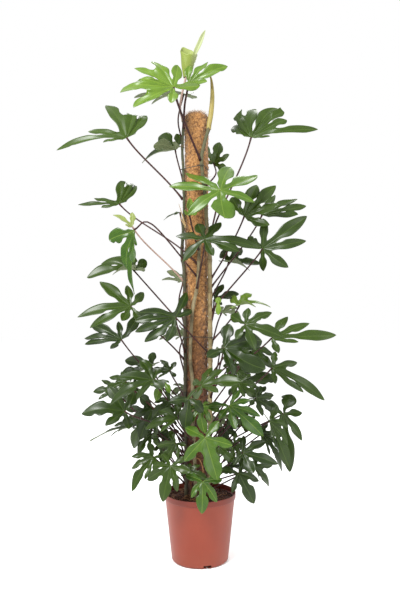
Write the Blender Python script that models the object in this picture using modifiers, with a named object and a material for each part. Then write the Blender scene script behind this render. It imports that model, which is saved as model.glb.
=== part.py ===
"""Potted philodendron: three climbing stems tied to a coir pole in a nursery pot.

Metres, +Z up.  The origin is the middle of the pot's flat underside, -Y is the front.
Every piece that would come apart on a bench is one object: pot, soil, pole core, coir
sleeve, ties, stems, roots, sheath, and each leaf with the stalk that it grew on.
"""
import math
import random
from collections import namedtuple

import bmesh
import bpy
from mathutils import Matrix, Vector

GAP = 0.0003                    # air between pieces that touch

POT_HEIGHT = 0.224
POT_RIM_RADIUS = 0.120
POT_BODY_RADIUS = 0.1165        # just under the rim band
POT_BASE_RADIUS = 0.095
POT_RIM_BAND = 0.018
POT_EDGE_ROUND = 0.008
POT_WALL = 0.002
POT_FLOOR = 0.003
POT_STEP = 0.001                # how far the wall steps in under the rim band and at the foot
DRAIN_COUNT = 6
DRAIN_RADIUS = 0.006
DRAIN_RING = 0.088
DRAIN_FIRST_ANGLE = -75.0
DRAIN_DRILL_LENGTH = 0.03

SOIL_EDGE_HEIGHT = 0.204
SOIL_CROWN_HEIGHT = 0.228
SOIL_RINGS = 4
SOIL_CROWN_POWER = 2.5          # the mix is flat near the pole and falls off near the wall

POLE_X = -0.012
POLE_RADIUS = 0.040
POLE_RIPPLE = 0.0015
POLE_ROUNDED = 0.030            # how far down from the top the sleeve is rounded over
POLE_RINGS = 10
POLE_CROWN = ((0.0, 0.0), (0.55, 0.004), (0.90, 0.014))    # share of the radius, drop
POLE_BORE_LENGTH = 0.4          # from the pole's foot to well clear of the mix
POLE_BOTTOM = 0.050
POLE_TOP = 1.496
POLE_CORE_RADIUS = 0.0125
POLE_CORE_TOP = 1.450
POLE_CORE_BOTTOM = 0.052

TIE_RADIUS = 0.00125
TIE_HEIGHTS = {"tie_upper": 1.304, "tie_middle": 1.237, "tie_lower": 0.746}

STEM_BOTTOM = 0.100
BORE_TOP = 0.32                 # well clear of the mix
BORE_SLACK = 1.16               # a six-sided bore's flats then clear the stem's corners
STEM_RADII = {"left": 0.0065, "front": 0.0065, "right": 0.0085}
STEM_ROUTES = {
    "left": [(-0.046, -0.036, STEM_BOTTOM), (-0.046, -0.036, 0.30), (-0.049, -0.034, 0.50),
             (-0.049, -0.034, 0.70), (-0.052, -0.030, 0.95), (-0.060, -0.018, 1.02),
             (-0.053, -0.029, 1.15), (-0.055, -0.026, 1.29), (-0.059, -0.019, 1.37),
             (-0.053, -0.029, 1.472)],
    "front": [(-0.010, -0.054, STEM_BOTTOM), (-0.015, -0.053, 0.28), (-0.022, -0.052, 0.45),
              (-0.025, -0.052, 0.60), (-0.032, -0.050, 0.67), (-0.029, -0.050, 0.77),
              (-0.022, -0.051, 0.85), (-0.008, -0.053, 0.92), (-0.002, -0.054, 1.035),
              (0.008, -0.058, 1.075)],
    "right": [(0.031, -0.031, STEM_BOTTOM), (0.032, -0.030, 0.30), (0.034, -0.028, 0.60),
              (0.033, -0.029, 0.90), (0.031, -0.031, 1.04), (0.022, -0.041, 1.12),
              (0.018, -0.044, 1.20), (0.005, -0.050, 1.32), (0.014, -0.046, 1.38),
              (0.029, -0.034, 1.435)],
}
ROOT_RADIUS = 0.002
ROOT_ROUTES = {
    "aerial_root": [(0.000, -0.066, 0.345), (0.010, -0.080, 0.315), (0.004, -0.084, 0.275),
                    (0.012, -0.080, 0.226)],
}
SHEATH_ROUTE = [(0.0300, -0.0330, 1.4450), (0.041, -0.029, 1.490), (0.047, -0.026, 1.545),
                (0.043, -0.025, 1.595), (0.032, -0.025, 1.625)]
SHEATH_RADII = [0.0070, 0.0085, 0.0075, 0.0050, 0.0015]

STALK_RADIUS = 0.0020
STALK_LEAN = 0.15               # how far a stalk leans out as it leaves its stem
STALK_MOST_RISE = 0.55          # and how far up, at most
STALK_KNEE = 0.40               # how far it turns towards the blade's upper side at the end
STALK_START_PULL = 0.35         # how far along the stalk each end's direction still rules it
STALK_END_PULL = 0.25
STALK_STEPS = 5
STALK_THROUGH = 0.004           # how far the stalk stands up through the blade
BLADE_THICKNESS = 0.0012
BACK_SINUS_ANGLE = 26           # between a back lobe and its own outer edge, degrees
BACK_SINUS_DEPTH = 0.24         # where that edge starts, of the lobe's length
LEAF_SEED = 27
OWN_FORM_LOOSENESS = 0.2        # how much a leaf varies from its own form, and not a shared one

# A blade's lobes: the end lobe's breadth, then each pair's angle, reach, breadth and
# parting, and a side if it is a single lobe and not a pair.  Reach is a fraction of the end
# lobe's length and breadth of the lobe's own; the parting is how far out, of the mean
# length, a lobe leaves the web that it shares with the lobe before it.  A form with a leaf's
# own name is that leaf's alone and is kept to closely; the shared ones vary.
FORMS = {
    "seven": (0.40, ((42, 0.76, 0.36, 0.42), (84, 0.68, 0.38, 0.38), (132, 0.52, 0.42, 0.30))),
    "webbed": (0.34, ((26, 0.80, 0.34, 0.50), (58, 0.76, 0.36, 0.44), (104, 0.60, 0.44, 0.34))),
    "fingered": (0.36, ((34, 0.82, 0.30, 0.42), (68, 0.74, 0.32, 0.40), (108, 0.56, 0.38, 0.32))),
    "five": (0.44, ((48, 0.82, 0.38, 0.42), (108, 0.64, 0.46, 0.30))),
    "parasol": (0.44, ((56, 0.78, 0.34, 0.42), (128, 0.60, 0.46, 0.20))),
    "slender": (0.28, ((26, 0.64, 0.30, 0.42), (62, 0.58, 0.34, 0.40), (116, 0.46, 0.42, 0.30))),
    "three": (0.46, ((60, 0.74, 0.42, 0.26),)),
    "single": (0.36, ((24, 0.34, 0.40, 0.40),)),
    "hanging": (0.30, ((24, 0.60, 0.40, 0.34), (62, 0.52, 0.46, 0.32))),
    "furled": (0.10, ((12, 0.58, 0.30, 0.30), (30, 0.46, 0.34, 0.34))),
    "leaf_01": (0.34, ((14, 0.70, 0.26, 0.74, -1), (30, 0.84, 0.24, 0.42, -1),
                       (62, 0.72, 0.32, 0.66, -1), (106, 0.62, 0.38, 0.26, -1),
                       (166, 0.62, 0.32, 0.20, -1), (32, 0.90, 0.28, 0.60, 1),
                       (84, 0.40, 0.50, 0.24, 1))),
    "leaf_02": (0.30, ((14, 0.80, 0.28, 0.46, -1), (44, 0.56, 0.36, 0.34, -1),
                       (104, 0.34, 0.50, 0.24, -1), (26, 0.70, 0.36, 0.36, 1),
                       (70, 0.52, 0.44, 0.26, 1))),
    "leaf_04": (0.14, ((17, 0.56, 0.24, 0.42, -1), (70, 0.80, 0.26, 0.22, -1),
                       (103, 0.56, 0.36, 0.64, -1), (122, 0.64, 0.32, 0.70, -1),
                       (8, 0.34, 0.20, 0.28, 1))),
    "leaf_06": (0.14, ((25, 0.62, 0.24, 0.50, 1), (41, 0.70, 0.32, 0.52, 1),
                       (57, 0.70, 0.34, 0.82, 1), (86, 0.70, 0.30, 0.16, 1),
                       (108, 0.58, 0.38, 0.72, 1), (129, 0.50, 0.42, 0.74, 1),
                       (8, 0.28, 0.24, 0.26, -1))),
    "leaf_08": (0.78, ((56, 1.20, 0.32, 0.26, -1), (108, 1.56, 0.26, 0.20, -1),
                       (136, 1.44, 0.34, 0.22, -1), (76, 1.08, 0.30, 0.24, 1),
                       (128, 1.50, 0.40, 0.20, 1), (168, 1.56, 0.32, 0.22, 1))),
    "leaf_09": (0.17, ((14, 0.62, 0.26, 0.38, -1), (94, 0.80, 0.34, 0.18, -1),
                       (114, 0.96, 0.26, 0.64, -1), (128, 0.84, 0.24, 0.76, -1),
                       (12, 0.46, 0.26, 0.30, 1))),
    "leaf_13": (0.34, ((28, 0.82, 0.34, 0.40, 1), (78, 0.56, 0.46, 0.26, 1),
                       (30, 0.80, 0.36, 0.38, -1), (74, 0.62, 0.40, 0.26, -1))),
    "leaf_14": (0.22, ((22, 0.86, 0.26, 0.42, 1), (54, 0.62, 0.38, 0.32, 1),
                       (112, 0.42, 0.50, 0.20, 1), (12, 0.80, 0.24, 0.46, -1))),
    "leaf_15": (0.24, ((20, 0.66, 0.34, 0.34, -1), (62, 0.46, 0.36, 0.26, -1),
                       (136, 0.58, 0.40, 0.18, -1), (66, 0.50, 0.42, 0.22, 1),
                       (118, 0.50, 0.44, 0.20, 1), (160, 0.74, 0.34, 0.18, 1))),
    "leaf_16": (0.26, ((50, 0.58, 0.34, 0.22, 1), (106, 0.40, 0.40, 0.22, 1),
                       (28, 0.82, 0.26, 0.30, -1), (78, 0.60, 0.34, 0.26, -1),
                       (126, 0.44, 0.38, 0.20, -1))),
    "leaf_19": (0.25, ((49, 0.84, 0.30, 0.28, -1), (92, 0.50, 0.40, 0.26, -1),
                       (136, 0.46, 0.44, 0.20, -1), (24, 0.86, 0.26, 0.40, 1),
                       (64, 0.46, 0.38, 0.28, 1), (116, 0.42, 0.42, 0.20, 1))),
    "leaf_20": (0.26, ((26, 0.98, 0.26, 0.40, -1), (70, 0.60, 0.34, 0.28, -1),
                       (114, 0.98, 0.32, 0.18, -1), (12, 0.96, 0.22, 0.46, 1),
                       (62, 0.44, 0.42, 0.24, 1))),
    "leaf_21": (0.26, ((18, 0.96, 0.26, 0.46, -1), (122, 0.90, 0.26, 0.16, -1),
                       (156, 0.68, 0.32, 0.26, -1), (18, 1.04, 0.24, 0.48, 1),
                       (38, 0.96, 0.30, 0.40, 1), (70, 0.66, 0.36, 0.28, 1))),
    "leaf_34": (0.34, ((50, 0.80, 0.36, 0.32, 1), (104, 0.54, 0.40, 0.26, 1),
                       (156, 0.58, 0.42, 0.18, 1), (56, 0.82, 0.36, 0.32, -1),
                       (98, 0.54, 0.40, 0.26, -1))),
    "leaf_36": (0.18, ((20, 0.66, 0.22, 0.32, 1), (57, 0.46, 0.32, 0.26, 1),
                       (14, 0.42, 0.24, 0.28, -1), (76, 0.30, 0.40, 0.22, -1))),
    "leaf_40": (0.20, ((42, 0.46, 0.28, 0.32, 1), (100, 0.32, 0.38, 0.24, 1),
                       (16, 0.62, 0.26, 0.34, -1), (64, 0.30, 0.40, 0.26, -1))),
    "leaf_41": (0.38, ((26, 0.78, 0.30, 0.42, 1), (62, 0.58, 0.34, 0.32, 1),
                       (98, 0.50, 0.36, 0.26, 1), (44, 0.62, 0.36, 0.34, -1),
                       (90, 0.44, 0.42, 0.26, -1), (146, 0.62, 0.38, 0.16, -1))),
    "leaf_42": (0.24, ((34, 0.60, 0.30, 0.26, 1), (90, 0.34, 0.44, 0.20, 1),
                       (150, 0.40, 0.70, 0.14, 1), (32, 0.46, 0.34, 0.26, -1),
                       (120, 0.30, 0.50, 0.20, -1))),
    "leaf_44": (0.34, ((48, 0.78, 0.34, 0.32, 1), (104, 0.56, 0.38, 0.22, 1),
                       (54, 0.72, 0.48, 0.28, -1), (112, 0.48, 0.42, 0.20, -1))),
}
RAISED_FROM = 20                # degrees off the end lobe where the halves start to rise more,
RAISED_OVER = 45                # and over how many they reach their full slope
LOBE_WIDEST = 0.60              # where a lobe is widest, of its length,
LOBE_SWELL = 0.16               # but at least this much beyond the sinus
LOBE_PARTED = 0.94              # neighbouring lobes stop short of the line halfway between them
CLOSE_NEIGHBOUR = math.radians(40)
LOBE_WITH_SHOULDER = 0.090      # shorter lobes have one breadth station, longer ones two
SHOULDER_BREADTH = 0.66         # the second station's breadth, of the widest
SHOULDER_FROM_TIP = 0.40        # and how far from the tip, of the way to the widest station
WELD = 0.00005

# One row for a leaf: its stem and where on it the stalk starts, the junction where stalk
# and blade meet, the end lobe from junction to tip, which way the upper side looks, the
# form, how far the halves are folded up, the droop, a point that the stalk passes, and how
# far the back lobes are raised.  Angles are in degrees.
Leaf = namedtuple("Leaf", "name stem height at tip face form fold droop via raised",
                  defaults=("seven", 12, 0.18, None, 15))
LEAVES = [
    # crown
    Leaf("new_leaf", "left", 1.460, (-0.046, 0.020, 1.600), (0.066, 0.00, 0.172),
         (-0.2, -0.9, 0.3), "furled", 40, 0.05, (-0.066, -0.010, 1.520)),
    Leaf("leaf_01", "right", 1.325, (-0.085, -0.118, 1.544), (-0.158, -0.03, 0.000),
         (0.05, -0.90, 0.42), "leaf_01", 8, 0.14, None, 6),
    Leaf("leaf_02", "left", 1.435, (-0.036, -0.045, 1.582), (0.118, -0.01, 0.062),
         (-0.1, -0.84, 0.50), "leaf_02", 14, 0.14, (-0.050, -0.047, 1.510), 8),
    Leaf("leaf_03", "left", 1.395, (-0.056, 0.105, 1.594), (-0.172, 0.00, -0.010),
         (0.0, -0.20, 0.97), "five", 4, 0.14, (-0.074, 0.020, 1.480), 0),
    Leaf("leaf_04", "left", 1.200, (-0.246, 0.000, 1.412), (-0.232, -0.02, -0.008),
         (0.0, -0.88, 0.46), "leaf_04", 6, 0.10, None, 0),
    Leaf("leaf_05", "left", 1.255, (-0.086, 0.080, 1.390), (-0.112, 0.03, -0.010),
         (0.0, -0.55, 0.80), "five", 18, 0.26, None, 50),
    Leaf("leaf_06", "right", 1.070, (0.176, 0.055, 1.427), (0.222, -0.02, 0.030),
         (0.0, -0.88, 0.46), "leaf_06", 6, 0.16, None, 0),
    Leaf("leaf_07", "right", 1.240, (0.048, 0.080, 1.342), (0.024, 0.02, 0.084),
         (0.05, -0.90, 0.20), "five", 20, 0.10, (0.052, -0.020, 1.285)),
    # upper half
    Leaf("leaf_08", "right", 1.060, (0.064, -0.145, 1.211), (0.004, -0.060, -0.086),
         (0.05, -0.84, 0.54), "leaf_08", 0, 0.08, None, 0),
    Leaf("leaf_09", "front", 0.985, (-0.277, 0.050, 1.197), (-0.137, -0.02, -0.002),
         (0.0, -0.86, 0.50), "leaf_09", 6, 0.10, None, 0),
    Leaf("leaf_10", "front", 0.945, (-0.215, -0.070, 1.095), (-0.020, -0.01, -0.205),
         (-0.75, -0.65, 0.10), "hanging", 26, 0.12, (-0.155, -0.078, 1.112)),
    Leaf("leaf_11", "left", 0.930, (-0.225, -0.020, 1.112), (-0.060, -0.01, 0.040),
         (0.3, -0.70, 0.60), "three", 26, 0.10),
    Leaf("leaf_12", "right", 0.690, (-0.228, 0.040, 0.970), (-0.143, -0.02, -0.022),
         (0.0, -0.45, 0.85), "seven", 26, 0.40, (-0.020, -0.082, 0.745), 30),
    Leaf("leaf_13", "right", 0.940, (0.146, -0.040, 1.143), (0.104, 0.00, 0.106),
         (-0.2, -0.86, 0.30), "leaf_13", 10, 0.08, None, 0),
    Leaf("leaf_14", "right", 0.910, (0.214, 0.060, 1.160), (0.148, -0.02, 0.026),
         (0.0, -0.84, 0.50), "leaf_14", 8, 0.14, None, 0),
    Leaf("leaf_15", "front", 0.905, (0.016, -0.130, 1.060), (0.168, -0.02, -0.020),
         (0.0, -0.80, 0.58), "leaf_15", 6, 0.22, None, 0),
    Leaf("leaf_16", "right", 0.830, (0.205, -0.060, 1.035), (0.140, -0.02, 0.102),
         (0.1, -0.88, 0.36), "leaf_16", 8, 0.12, None, 0),
    Leaf("leaf_17", "right", 0.870, (0.100, 0.075, 1.000), (0.105, -0.01, -0.011),
         (0.0, -0.60, 0.75), "five", 18, 0.24, None, 40),
    Leaf("leaf_18", "front", 1.030, (-0.034, -0.100, 1.140), (0.002, -0.02, 0.050),
         (0.2, -0.90, 0.20), "three", 25, 0.10),
    # left side, from the middle down
    Leaf("leaf_19", "left", 0.670, (-0.225, -0.080, 0.847), (-0.162, -0.03, -0.016),
         (0.0, -0.82, 0.54), "leaf_19", 10, 0.18, None, 6),
    Leaf("leaf_20", "left", 0.510, (-0.272, 0.062, 0.730), (-0.126, 0.01, 0.014),
         (-0.1, -0.80, 0.55), "leaf_20", 10, 0.18, None, 6),
    Leaf("leaf_21", "left", 0.695, (-0.078, -0.115, 0.812), (-0.122, -0.03, -0.006),
         (0.0, -0.94, 0.34), "leaf_21", 6, 0.20, None, 0),
    Leaf("leaf_22", "left", 0.470, (-0.150, -0.105, 0.612), (-0.120, -0.06, -0.049),
         (-0.1, -0.62, 0.70), "seven", 14, 0.30, None, 24),
    Leaf("leaf_23", "left", 0.450, (-0.172, 0.120, 0.632), (-0.115, 0.00, -0.046),
         (0.0, -0.50, 0.85), "five", 20, 0.30, None, 40),
    Leaf("leaf_24", "left", 0.415, (-0.246, -0.070, 0.505), (-0.124, -0.02, 0.020),
         (-0.2, -0.72, 0.60), "five", 12, 0.20, None, 16),
    Leaf("leaf_25", "left", 0.340, (-0.235, 0.110, 0.420), (-0.147, 0.02, -0.042),
         (0.0, -0.20, 0.95), "slender", 12, 0.30),
    Leaf("leaf_26", "left", 0.385, (-0.160, 0.015, 0.500), (-0.046, -0.01, -0.098),
         (-0.1, -0.86, 0.30), "five", 16, 0.24, None, 30),
    Leaf("leaf_27", "front", 0.400, (-0.075, -0.110, 0.490), (-0.089, -0.02, -0.019),
         (0.0, -0.64, 0.75), "five", 14, 0.30, None, 30),
    Leaf("leaf_28", "left", 0.290, (-0.093, -0.130, 0.342), (-0.025, -0.03, -0.099),
         (0.0, -0.85, 0.50), "seven", 8, 0.22, None, 20),
    Leaf("leaf_29", "left", 0.260, (-0.154, -0.050, 0.352), (-0.076, -0.02, -0.095),
         (-0.3, -0.80, 0.40), "slender", 18, 0.22, None, 20),
    # front
    Leaf("leaf_30", "front", 0.550, (0.004, -0.180, 0.604), (0.117, -0.04, 0.017),
         (0.0, -0.50, 0.86), "seven", 8, 0.26, None, 10),
    Leaf("leaf_31", "front", 0.430, (0.004, -0.120, 0.530), (0.000, -0.03, -0.078),
         (0.0, -0.80, 0.55), "seven", 10, 0.34, None, -14),
    Leaf("leaf_32", "front", 0.360, (0.016, -0.205, 0.448), (0.036, -0.02, -0.122),
         (0.05, -0.95, 0.30), "parasol", 4, 0.18, None, 6),
    Leaf("leaf_33", "front", 0.250, (0.009, -0.140, 0.297), (-0.002, -0.03, -0.086),
         (0.0, -0.85, 0.50), "five", 6, 0.24),
    # right side, from the middle down
    Leaf("leaf_34", "right", 0.620, (0.144, -0.125, 0.790), (0.112, -0.03, -0.034),
         (0.0, -0.82, 0.54), "leaf_34", 8, 0.20, None, 6),
    Leaf("leaf_35", "right", 0.730, (0.134, 0.020, 0.850), (0.096, 0.00, 0.007),
         (0.0, -0.40, 0.90), "five", 20, 0.30, None, 30),
    Leaf("leaf_36", "right", 0.580, (0.240, -0.010, 0.740), (0.215, 0.00, 0.006),
         (0.0, -0.84, 0.50), "leaf_36", 10, 0.14, None, 6),
    Leaf("leaf_37", "right", 0.545, (0.076, -0.130, 0.716), (0.114, -0.03, -0.081),
         (0.0, -0.80, 0.60), "five", 10, 0.26, None, 20),
    Leaf("leaf_38", "right", 0.515, (0.182, 0.070, 0.698), (0.062, -0.01, -0.065),
         (0.2, -0.70, 0.60), "five", 10, 0.26),
    Leaf("leaf_39", "right", 0.480, (0.136, 0.105, 0.574), (0.129, 0.00, 0.021),
         (0.0, -0.66, 0.70), "seven", 14, 0.22, None, 20),
    Leaf("leaf_40", "right", 0.450, (0.246, 0.030, 0.636), (0.182, 0.00, -0.098),
         (0.1, -0.84, 0.50), "leaf_40", 12, 0.20, None, 6),
    Leaf("leaf_41", "right", 0.420, (0.094, -0.125, 0.532), (0.100, -0.03, -0.080),
         (0.1, -0.84, 0.50), "leaf_41", 8, 0.22, None, 6),
    Leaf("leaf_42", "right", 0.350, (0.284, 0.030, 0.480), (0.012, -0.04, -0.186),
         (0.3, -0.85, 0.10), "leaf_42", 12, 0.14, None, 6),
    Leaf("leaf_43", "right", 0.320, (0.228, -0.060, 0.472), (0.053, -0.01, -0.147),
         (0.5, -0.75, 0.30), "slender", 24, 0.24, None, 30),
    Leaf("leaf_44", "right", 0.285, (0.136, -0.120, 0.382), (0.104, -0.02, -0.026),
         (0.1, -0.82, 0.50), "leaf_44", 8, 0.20, None, 6),
    Leaf("leaf_45", "right", 0.300, (0.215, 0.070, 0.405), (0.074, 0.00, -0.121),
         (0.4, -0.70, 0.40), "slender", 22, 0.30, None, 30),
    Leaf("leaf_46", "right", 0.258, (0.124, -0.100, 0.312), (0.045, -0.02, -0.087),
         (0.2, -0.85, 0.50), "parasol", 8, 0.24),
    Leaf("leaf_47", "right", 0.240, (0.180, -0.020, 0.312), (0.053, 0.00, -0.060),
         (0.3, -0.70, 0.60), "five", 14, 0.24, None, 40),
]


def clear_scene():
    """Remove the objects that a new file starts with."""
    for obj in list(bpy.data.objects):
        bpy.data.objects.remove(obj, do_unlink=True)


def new_collection(name):
    collection = bpy.data.collections.new(name)
    bpy.context.scene.collection.children.link(collection)
    return collection


def new_material(name, colour, roughness, metallic=0.0):
    material = bpy.data.materials.new(name)
    material.use_nodes = True
    shader = material.node_tree.nodes["Principled BSDF"]
    shader.inputs["Base Color"].default_value = (*colour, 1.0)
    shader.inputs["Roughness"].default_value = roughness
    shader.inputs["Metallic"].default_value = metallic
    return material


def place_object(name, data, collection, material=None):
    obj = bpy.data.objects.new(name, data)
    collection.objects.link(obj)
    if material:
        data.materials.append(material)
    return obj


def finished_mesh(obj):
    """A mesh of the object with its modifiers done, in world places."""
    graph = bpy.context.evaluated_depsgraph_get()
    mesh = bpy.data.meshes.new_from_object(obj.evaluated_get(graph))
    mesh.transform(obj.matrix_world)
    mesh.name = obj.name
    bm = bmesh.new()
    bm.from_mesh(mesh)
    bmesh.ops.remove_doubles(bm, verts=bm.verts, dist=0.000001)
    bm.to_mesh(mesh)
    bm.free()
    return mesh


def smooth_route(points, spacing):
    """Points about `spacing` apart on the smooth curve through the given ones."""
    nodes = [Vector(p) for p in points]
    ends = [2 * nodes[0] - nodes[1], *nodes, 2 * nodes[-1] - nodes[-2]]
    route = []
    for before, start, end, after in zip(ends, ends[1:], ends[2:], ends[3:]):
        steps = max(1, round((end - start).length / spacing))
        for i in range(steps):
            t = i / steps
            route.append(0.5 * (2 * start + (end - before) * t
                                + (2 * before - 5 * start + 4 * end - after) * t ** 2
                                + (3 * start - before - 3 * end + after) * t ** 3))
    route.append(nodes[-1])
    return route


def tube(name, route, radius, collection, material=None, sides=2, radii=None, closed=False):
    """A round bar along a route; `sides` is Blender's bevel resolution."""
    curve = bpy.data.curves.new(name, "CURVE")
    curve.dimensions = "3D"
    curve.bevel_depth = radius
    curve.bevel_resolution = sides
    curve.use_fill_caps = not closed
    spline = curve.splines.new("POLY")
    spline.points.add(len(route) - 1)
    for i, point in enumerate(route):
        spline.points[i].co = (*point, 1.0)
        spline.points[i].radius = radii[i] / radius if radii else 1.0
    spline.use_cyclic_u = closed
    return place_object(name, curve, collection, material)


def turned(name, profile, sides, collection, material=None):
    """A turned body; the profile's outer side runs from top to bottom."""
    mesh = bpy.data.meshes.new(name)
    edges = [(i, i + 1) for i in range(len(profile) - 1)]
    mesh.from_pydata([(radius, 0.0, height) for radius, height in profile], edges, [])
    obj = place_object(name, mesh, collection, material)
    screw = obj.modifiers.new("turn", "SCREW")
    screw.steps = sides
    screw.render_steps = sides
    screw.use_merge_vertices = True
    screw.merge_threshold = 0.00001
    return obj


def cut(obj, cutter):
    boolean = obj.modifiers.new("cut_" + cutter.name, "BOOLEAN")
    boolean.operation = "DIFFERENCE"
    boolean.object = cutter
    cutter.hide_render = True
    cutter.display_type = "WIRE"


def arc(centre, radius, start, end, steps):
    """Points on an arc in the profile plane, angles in degrees."""
    points = []
    for i in range(steps + 1):
        angle = math.radians(start + (end - start) * i / steps)
        points.append((centre[0] + radius * math.cos(angle), centre[1] + radius * math.sin(angle)))
    return points


def wall_radius(height):
    """The pot body's outer radius at a height."""
    share = height / (POT_HEIGHT - POT_RIM_BAND)
    return POT_BASE_RADIUS + (POT_BODY_RADIUS - POT_BASE_RADIUS) * share


def make_pot(parts, cutters):
    band_bottom = POT_HEIGHT - POT_RIM_BAND
    lip = arc((POT_RIM_RADIUS - POT_WALL / 2, POT_HEIGHT - POT_WALL / 2), POT_WALL / 2, 180, 0, 4)
    foot = arc((POT_BASE_RADIUS - POT_EDGE_ROUND, POT_EDGE_ROUND), POT_EDGE_ROUND, 0, -90, 4)
    inner_foot = wall_radius(POT_FLOOR) - POT_WALL - POT_STEP
    profile = [
        (0.0, POT_FLOOR),
        (inner_foot - POT_EDGE_ROUND + POT_WALL, POT_FLOOR),
        (inner_foot, POT_EDGE_ROUND),
        (POT_BODY_RADIUS - POT_WALL, band_bottom - POT_WALL),
        (POT_RIM_RADIUS - POT_WALL, band_bottom + POT_WALL),
        *lip,
        (POT_RIM_RADIUS, band_bottom),
        (POT_BODY_RADIUS, band_bottom - POT_STEP),
        *foot,
        (0.0, 0.0),
    ]
    material = new_material("terracotta_coloured_polypropylene", (0.42, 0.115, 0.065), 0.42)
    pot = turned("pot", profile, 36, parts, material)
    for i in range(DRAIN_COUNT):
        angle = math.radians(DRAIN_FIRST_ANGLE + 360 * i / DRAIN_COUNT)
        bpy.ops.mesh.primitive_cylinder_add(
            vertices=10, radius=DRAIN_RADIUS, depth=DRAIN_DRILL_LENGTH,
            location=(DRAIN_RING * math.cos(angle), DRAIN_RING * math.sin(angle), 0.0))
        drill = bpy.context.object
        drill.name = f"drain_drill_{i + 1}"
        drill.users_collection[0].objects.unlink(drill)
        cutters.objects.link(drill)
        cut(pot, drill)
    return pot


def make_soil(parts, cutters, stems):
    """The root ball: fills the pot, crowned on top, with bores for the pole and stems."""
    inner_edge = POT_BODY_RADIUS - POT_WALL - GAP * 2
    floor = POT_FLOOR + GAP
    foot = wall_radius(floor) - POT_WALL - POT_STEP - GAP * 2
    profile = [(0.0, SOIL_CROWN_HEIGHT)]
    edge_radius = inner_edge - (POT_HEIGHT - POT_RIM_BAND - SOIL_EDGE_HEIGHT) * 0.1
    for i in range(1, SOIL_RINGS + 1):
        share = i / SOIL_RINGS
        crown = 1 - share ** SOIL_CROWN_POWER
        height = SOIL_EDGE_HEIGHT + (SOIL_CROWN_HEIGHT - SOIL_EDGE_HEIGHT) * crown
        profile.append((edge_radius * share, height))
    profile += [
        (inner_edge - GAP, POT_HEIGHT - POT_RIM_BAND - POT_WALL),
        (foot - GAP, POT_EDGE_ROUND),
        (foot - POT_EDGE_ROUND + POT_WALL, floor),
        (0.0, floor),
    ]
    material = new_material("peat_and_coir_potting_mix", (0.055, 0.022, 0.014), 0.95)
    soil = turned("soil", profile, 28, parts, material)
    bpy.ops.mesh.primitive_cylinder_add(
        vertices=20, radius=POLE_RADIUS + GAP * 4, depth=POLE_BORE_LENGTH,
        location=(POLE_X, 0.0, POLE_BOTTOM - GAP + POLE_BORE_LENGTH / 2))
    pole_bore = bpy.context.object
    pole_bore.name = "pole_bore"
    pole_bore.users_collection[0].objects.unlink(pole_bore)
    cutters.objects.link(pole_bore)
    cut(soil, pole_bore)
    for stem, route in stems.items():
        start = Vector((route[0].x, route[0].y, STEM_BOTTOM - GAP))
        buried = [start, *[p for p in route[1:] if p.z < BORE_TOP]]
        bore = tube(f"{stem}_bore", buried, STEM_RADII[stem] * BORE_SLACK + GAP, cutters, sides=1)
        mesh = finished_mesh(bore)
        bpy.data.objects.remove(bore, do_unlink=True)
        cut(soil, place_object(f"{stem}_bore", mesh, cutters))
    return soil


def make_pole(parts):
    """A wooden core in a sleeve of rolled coir, which is closed over at the top."""
    core_material = new_material("pine_stake", (0.45, 0.30, 0.16), 0.7)
    core_profile = [(0.0, POLE_CORE_TOP), (POLE_CORE_RADIUS, POLE_CORE_TOP),
                    (POLE_CORE_RADIUS, POLE_CORE_BOTTOM), (0.0, POLE_CORE_BOTTOM)]
    core = turned("pole_core", core_profile, 16, parts, core_material)
    core.location.x = POLE_X

    bore = POLE_CORE_RADIUS + GAP
    profile = [(POLE_RADIUS * share, POLE_TOP - drop) for share, drop in POLE_CROWN]
    side_top = POLE_TOP - POLE_ROUNDED
    for i in range(POLE_RINGS + 1):
        height = side_top - (side_top - POLE_BOTTOM) * i / POLE_RINGS
        profile.append((POLE_RADIUS - POLE_RIPPLE * (i % 2), height))
    profile += [(bore, POLE_BOTTOM), (bore, POLE_CORE_TOP + GAP), (0.0, POLE_CORE_TOP + GAP)]
    coir_material = new_material("rolled_coir", (0.42, 0.20, 0.085), 0.95)
    sleeve = turned("coir_sleeve", profile, 20, parts, coir_material)
    sleeve.location.x = POLE_X


def make_stems(parts):
    """The three climbing stems; returns each one's centre line."""
    colours = {"left": (0.20, 0.19, 0.12), "front": (0.42, 0.38, 0.28), "right": (0.50, 0.45, 0.34)}
    lines = {}
    for name, points in STEM_ROUTES.items():
        lines[name] = smooth_route(points, 0.06)
        material = new_material(f"stem_bark_{name}", colours[name], 0.6)
        tube(f"stem_{name}", lines[name], STEM_RADII[name], parts, material, sides=1)
    return lines


def point_at_height(line, height):
    """Where a rising line passes a height."""
    for low, high in zip(line, line[1:]):
        if low.z <= height <= high.z:
            return low.lerp(high, (height - low.z) / (high.z - low.z))
    return line[-1].copy() if height > line[-1].z else line[0].copy()


def hull_outline(circles, clearance, steps=12):
    """The taut loop round some circles (x, y, radius), as a convex outline."""
    points = []
    for x, y, radius in circles:
        for i in range(steps):
            angle = 2 * math.pi * i / steps
            reach = (radius + clearance) / math.cos(math.pi / steps)
            points.append((x + reach * math.cos(angle), y + reach * math.sin(angle)))
    points.sort()
    halves = []
    for ordered in (points, points[::-1]):
        chain = []
        for p in ordered:
            while len(chain) > 1 and ((chain[-1][0] - chain[-2][0]) * (p[1] - chain[-2][1])
                                      <= (chain[-1][1] - chain[-2][1]) * (p[0] - chain[-2][0])):
                chain.pop()
            chain.append(p)
        halves.append(chain[:-1])
    return halves[0] + halves[1]


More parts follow.
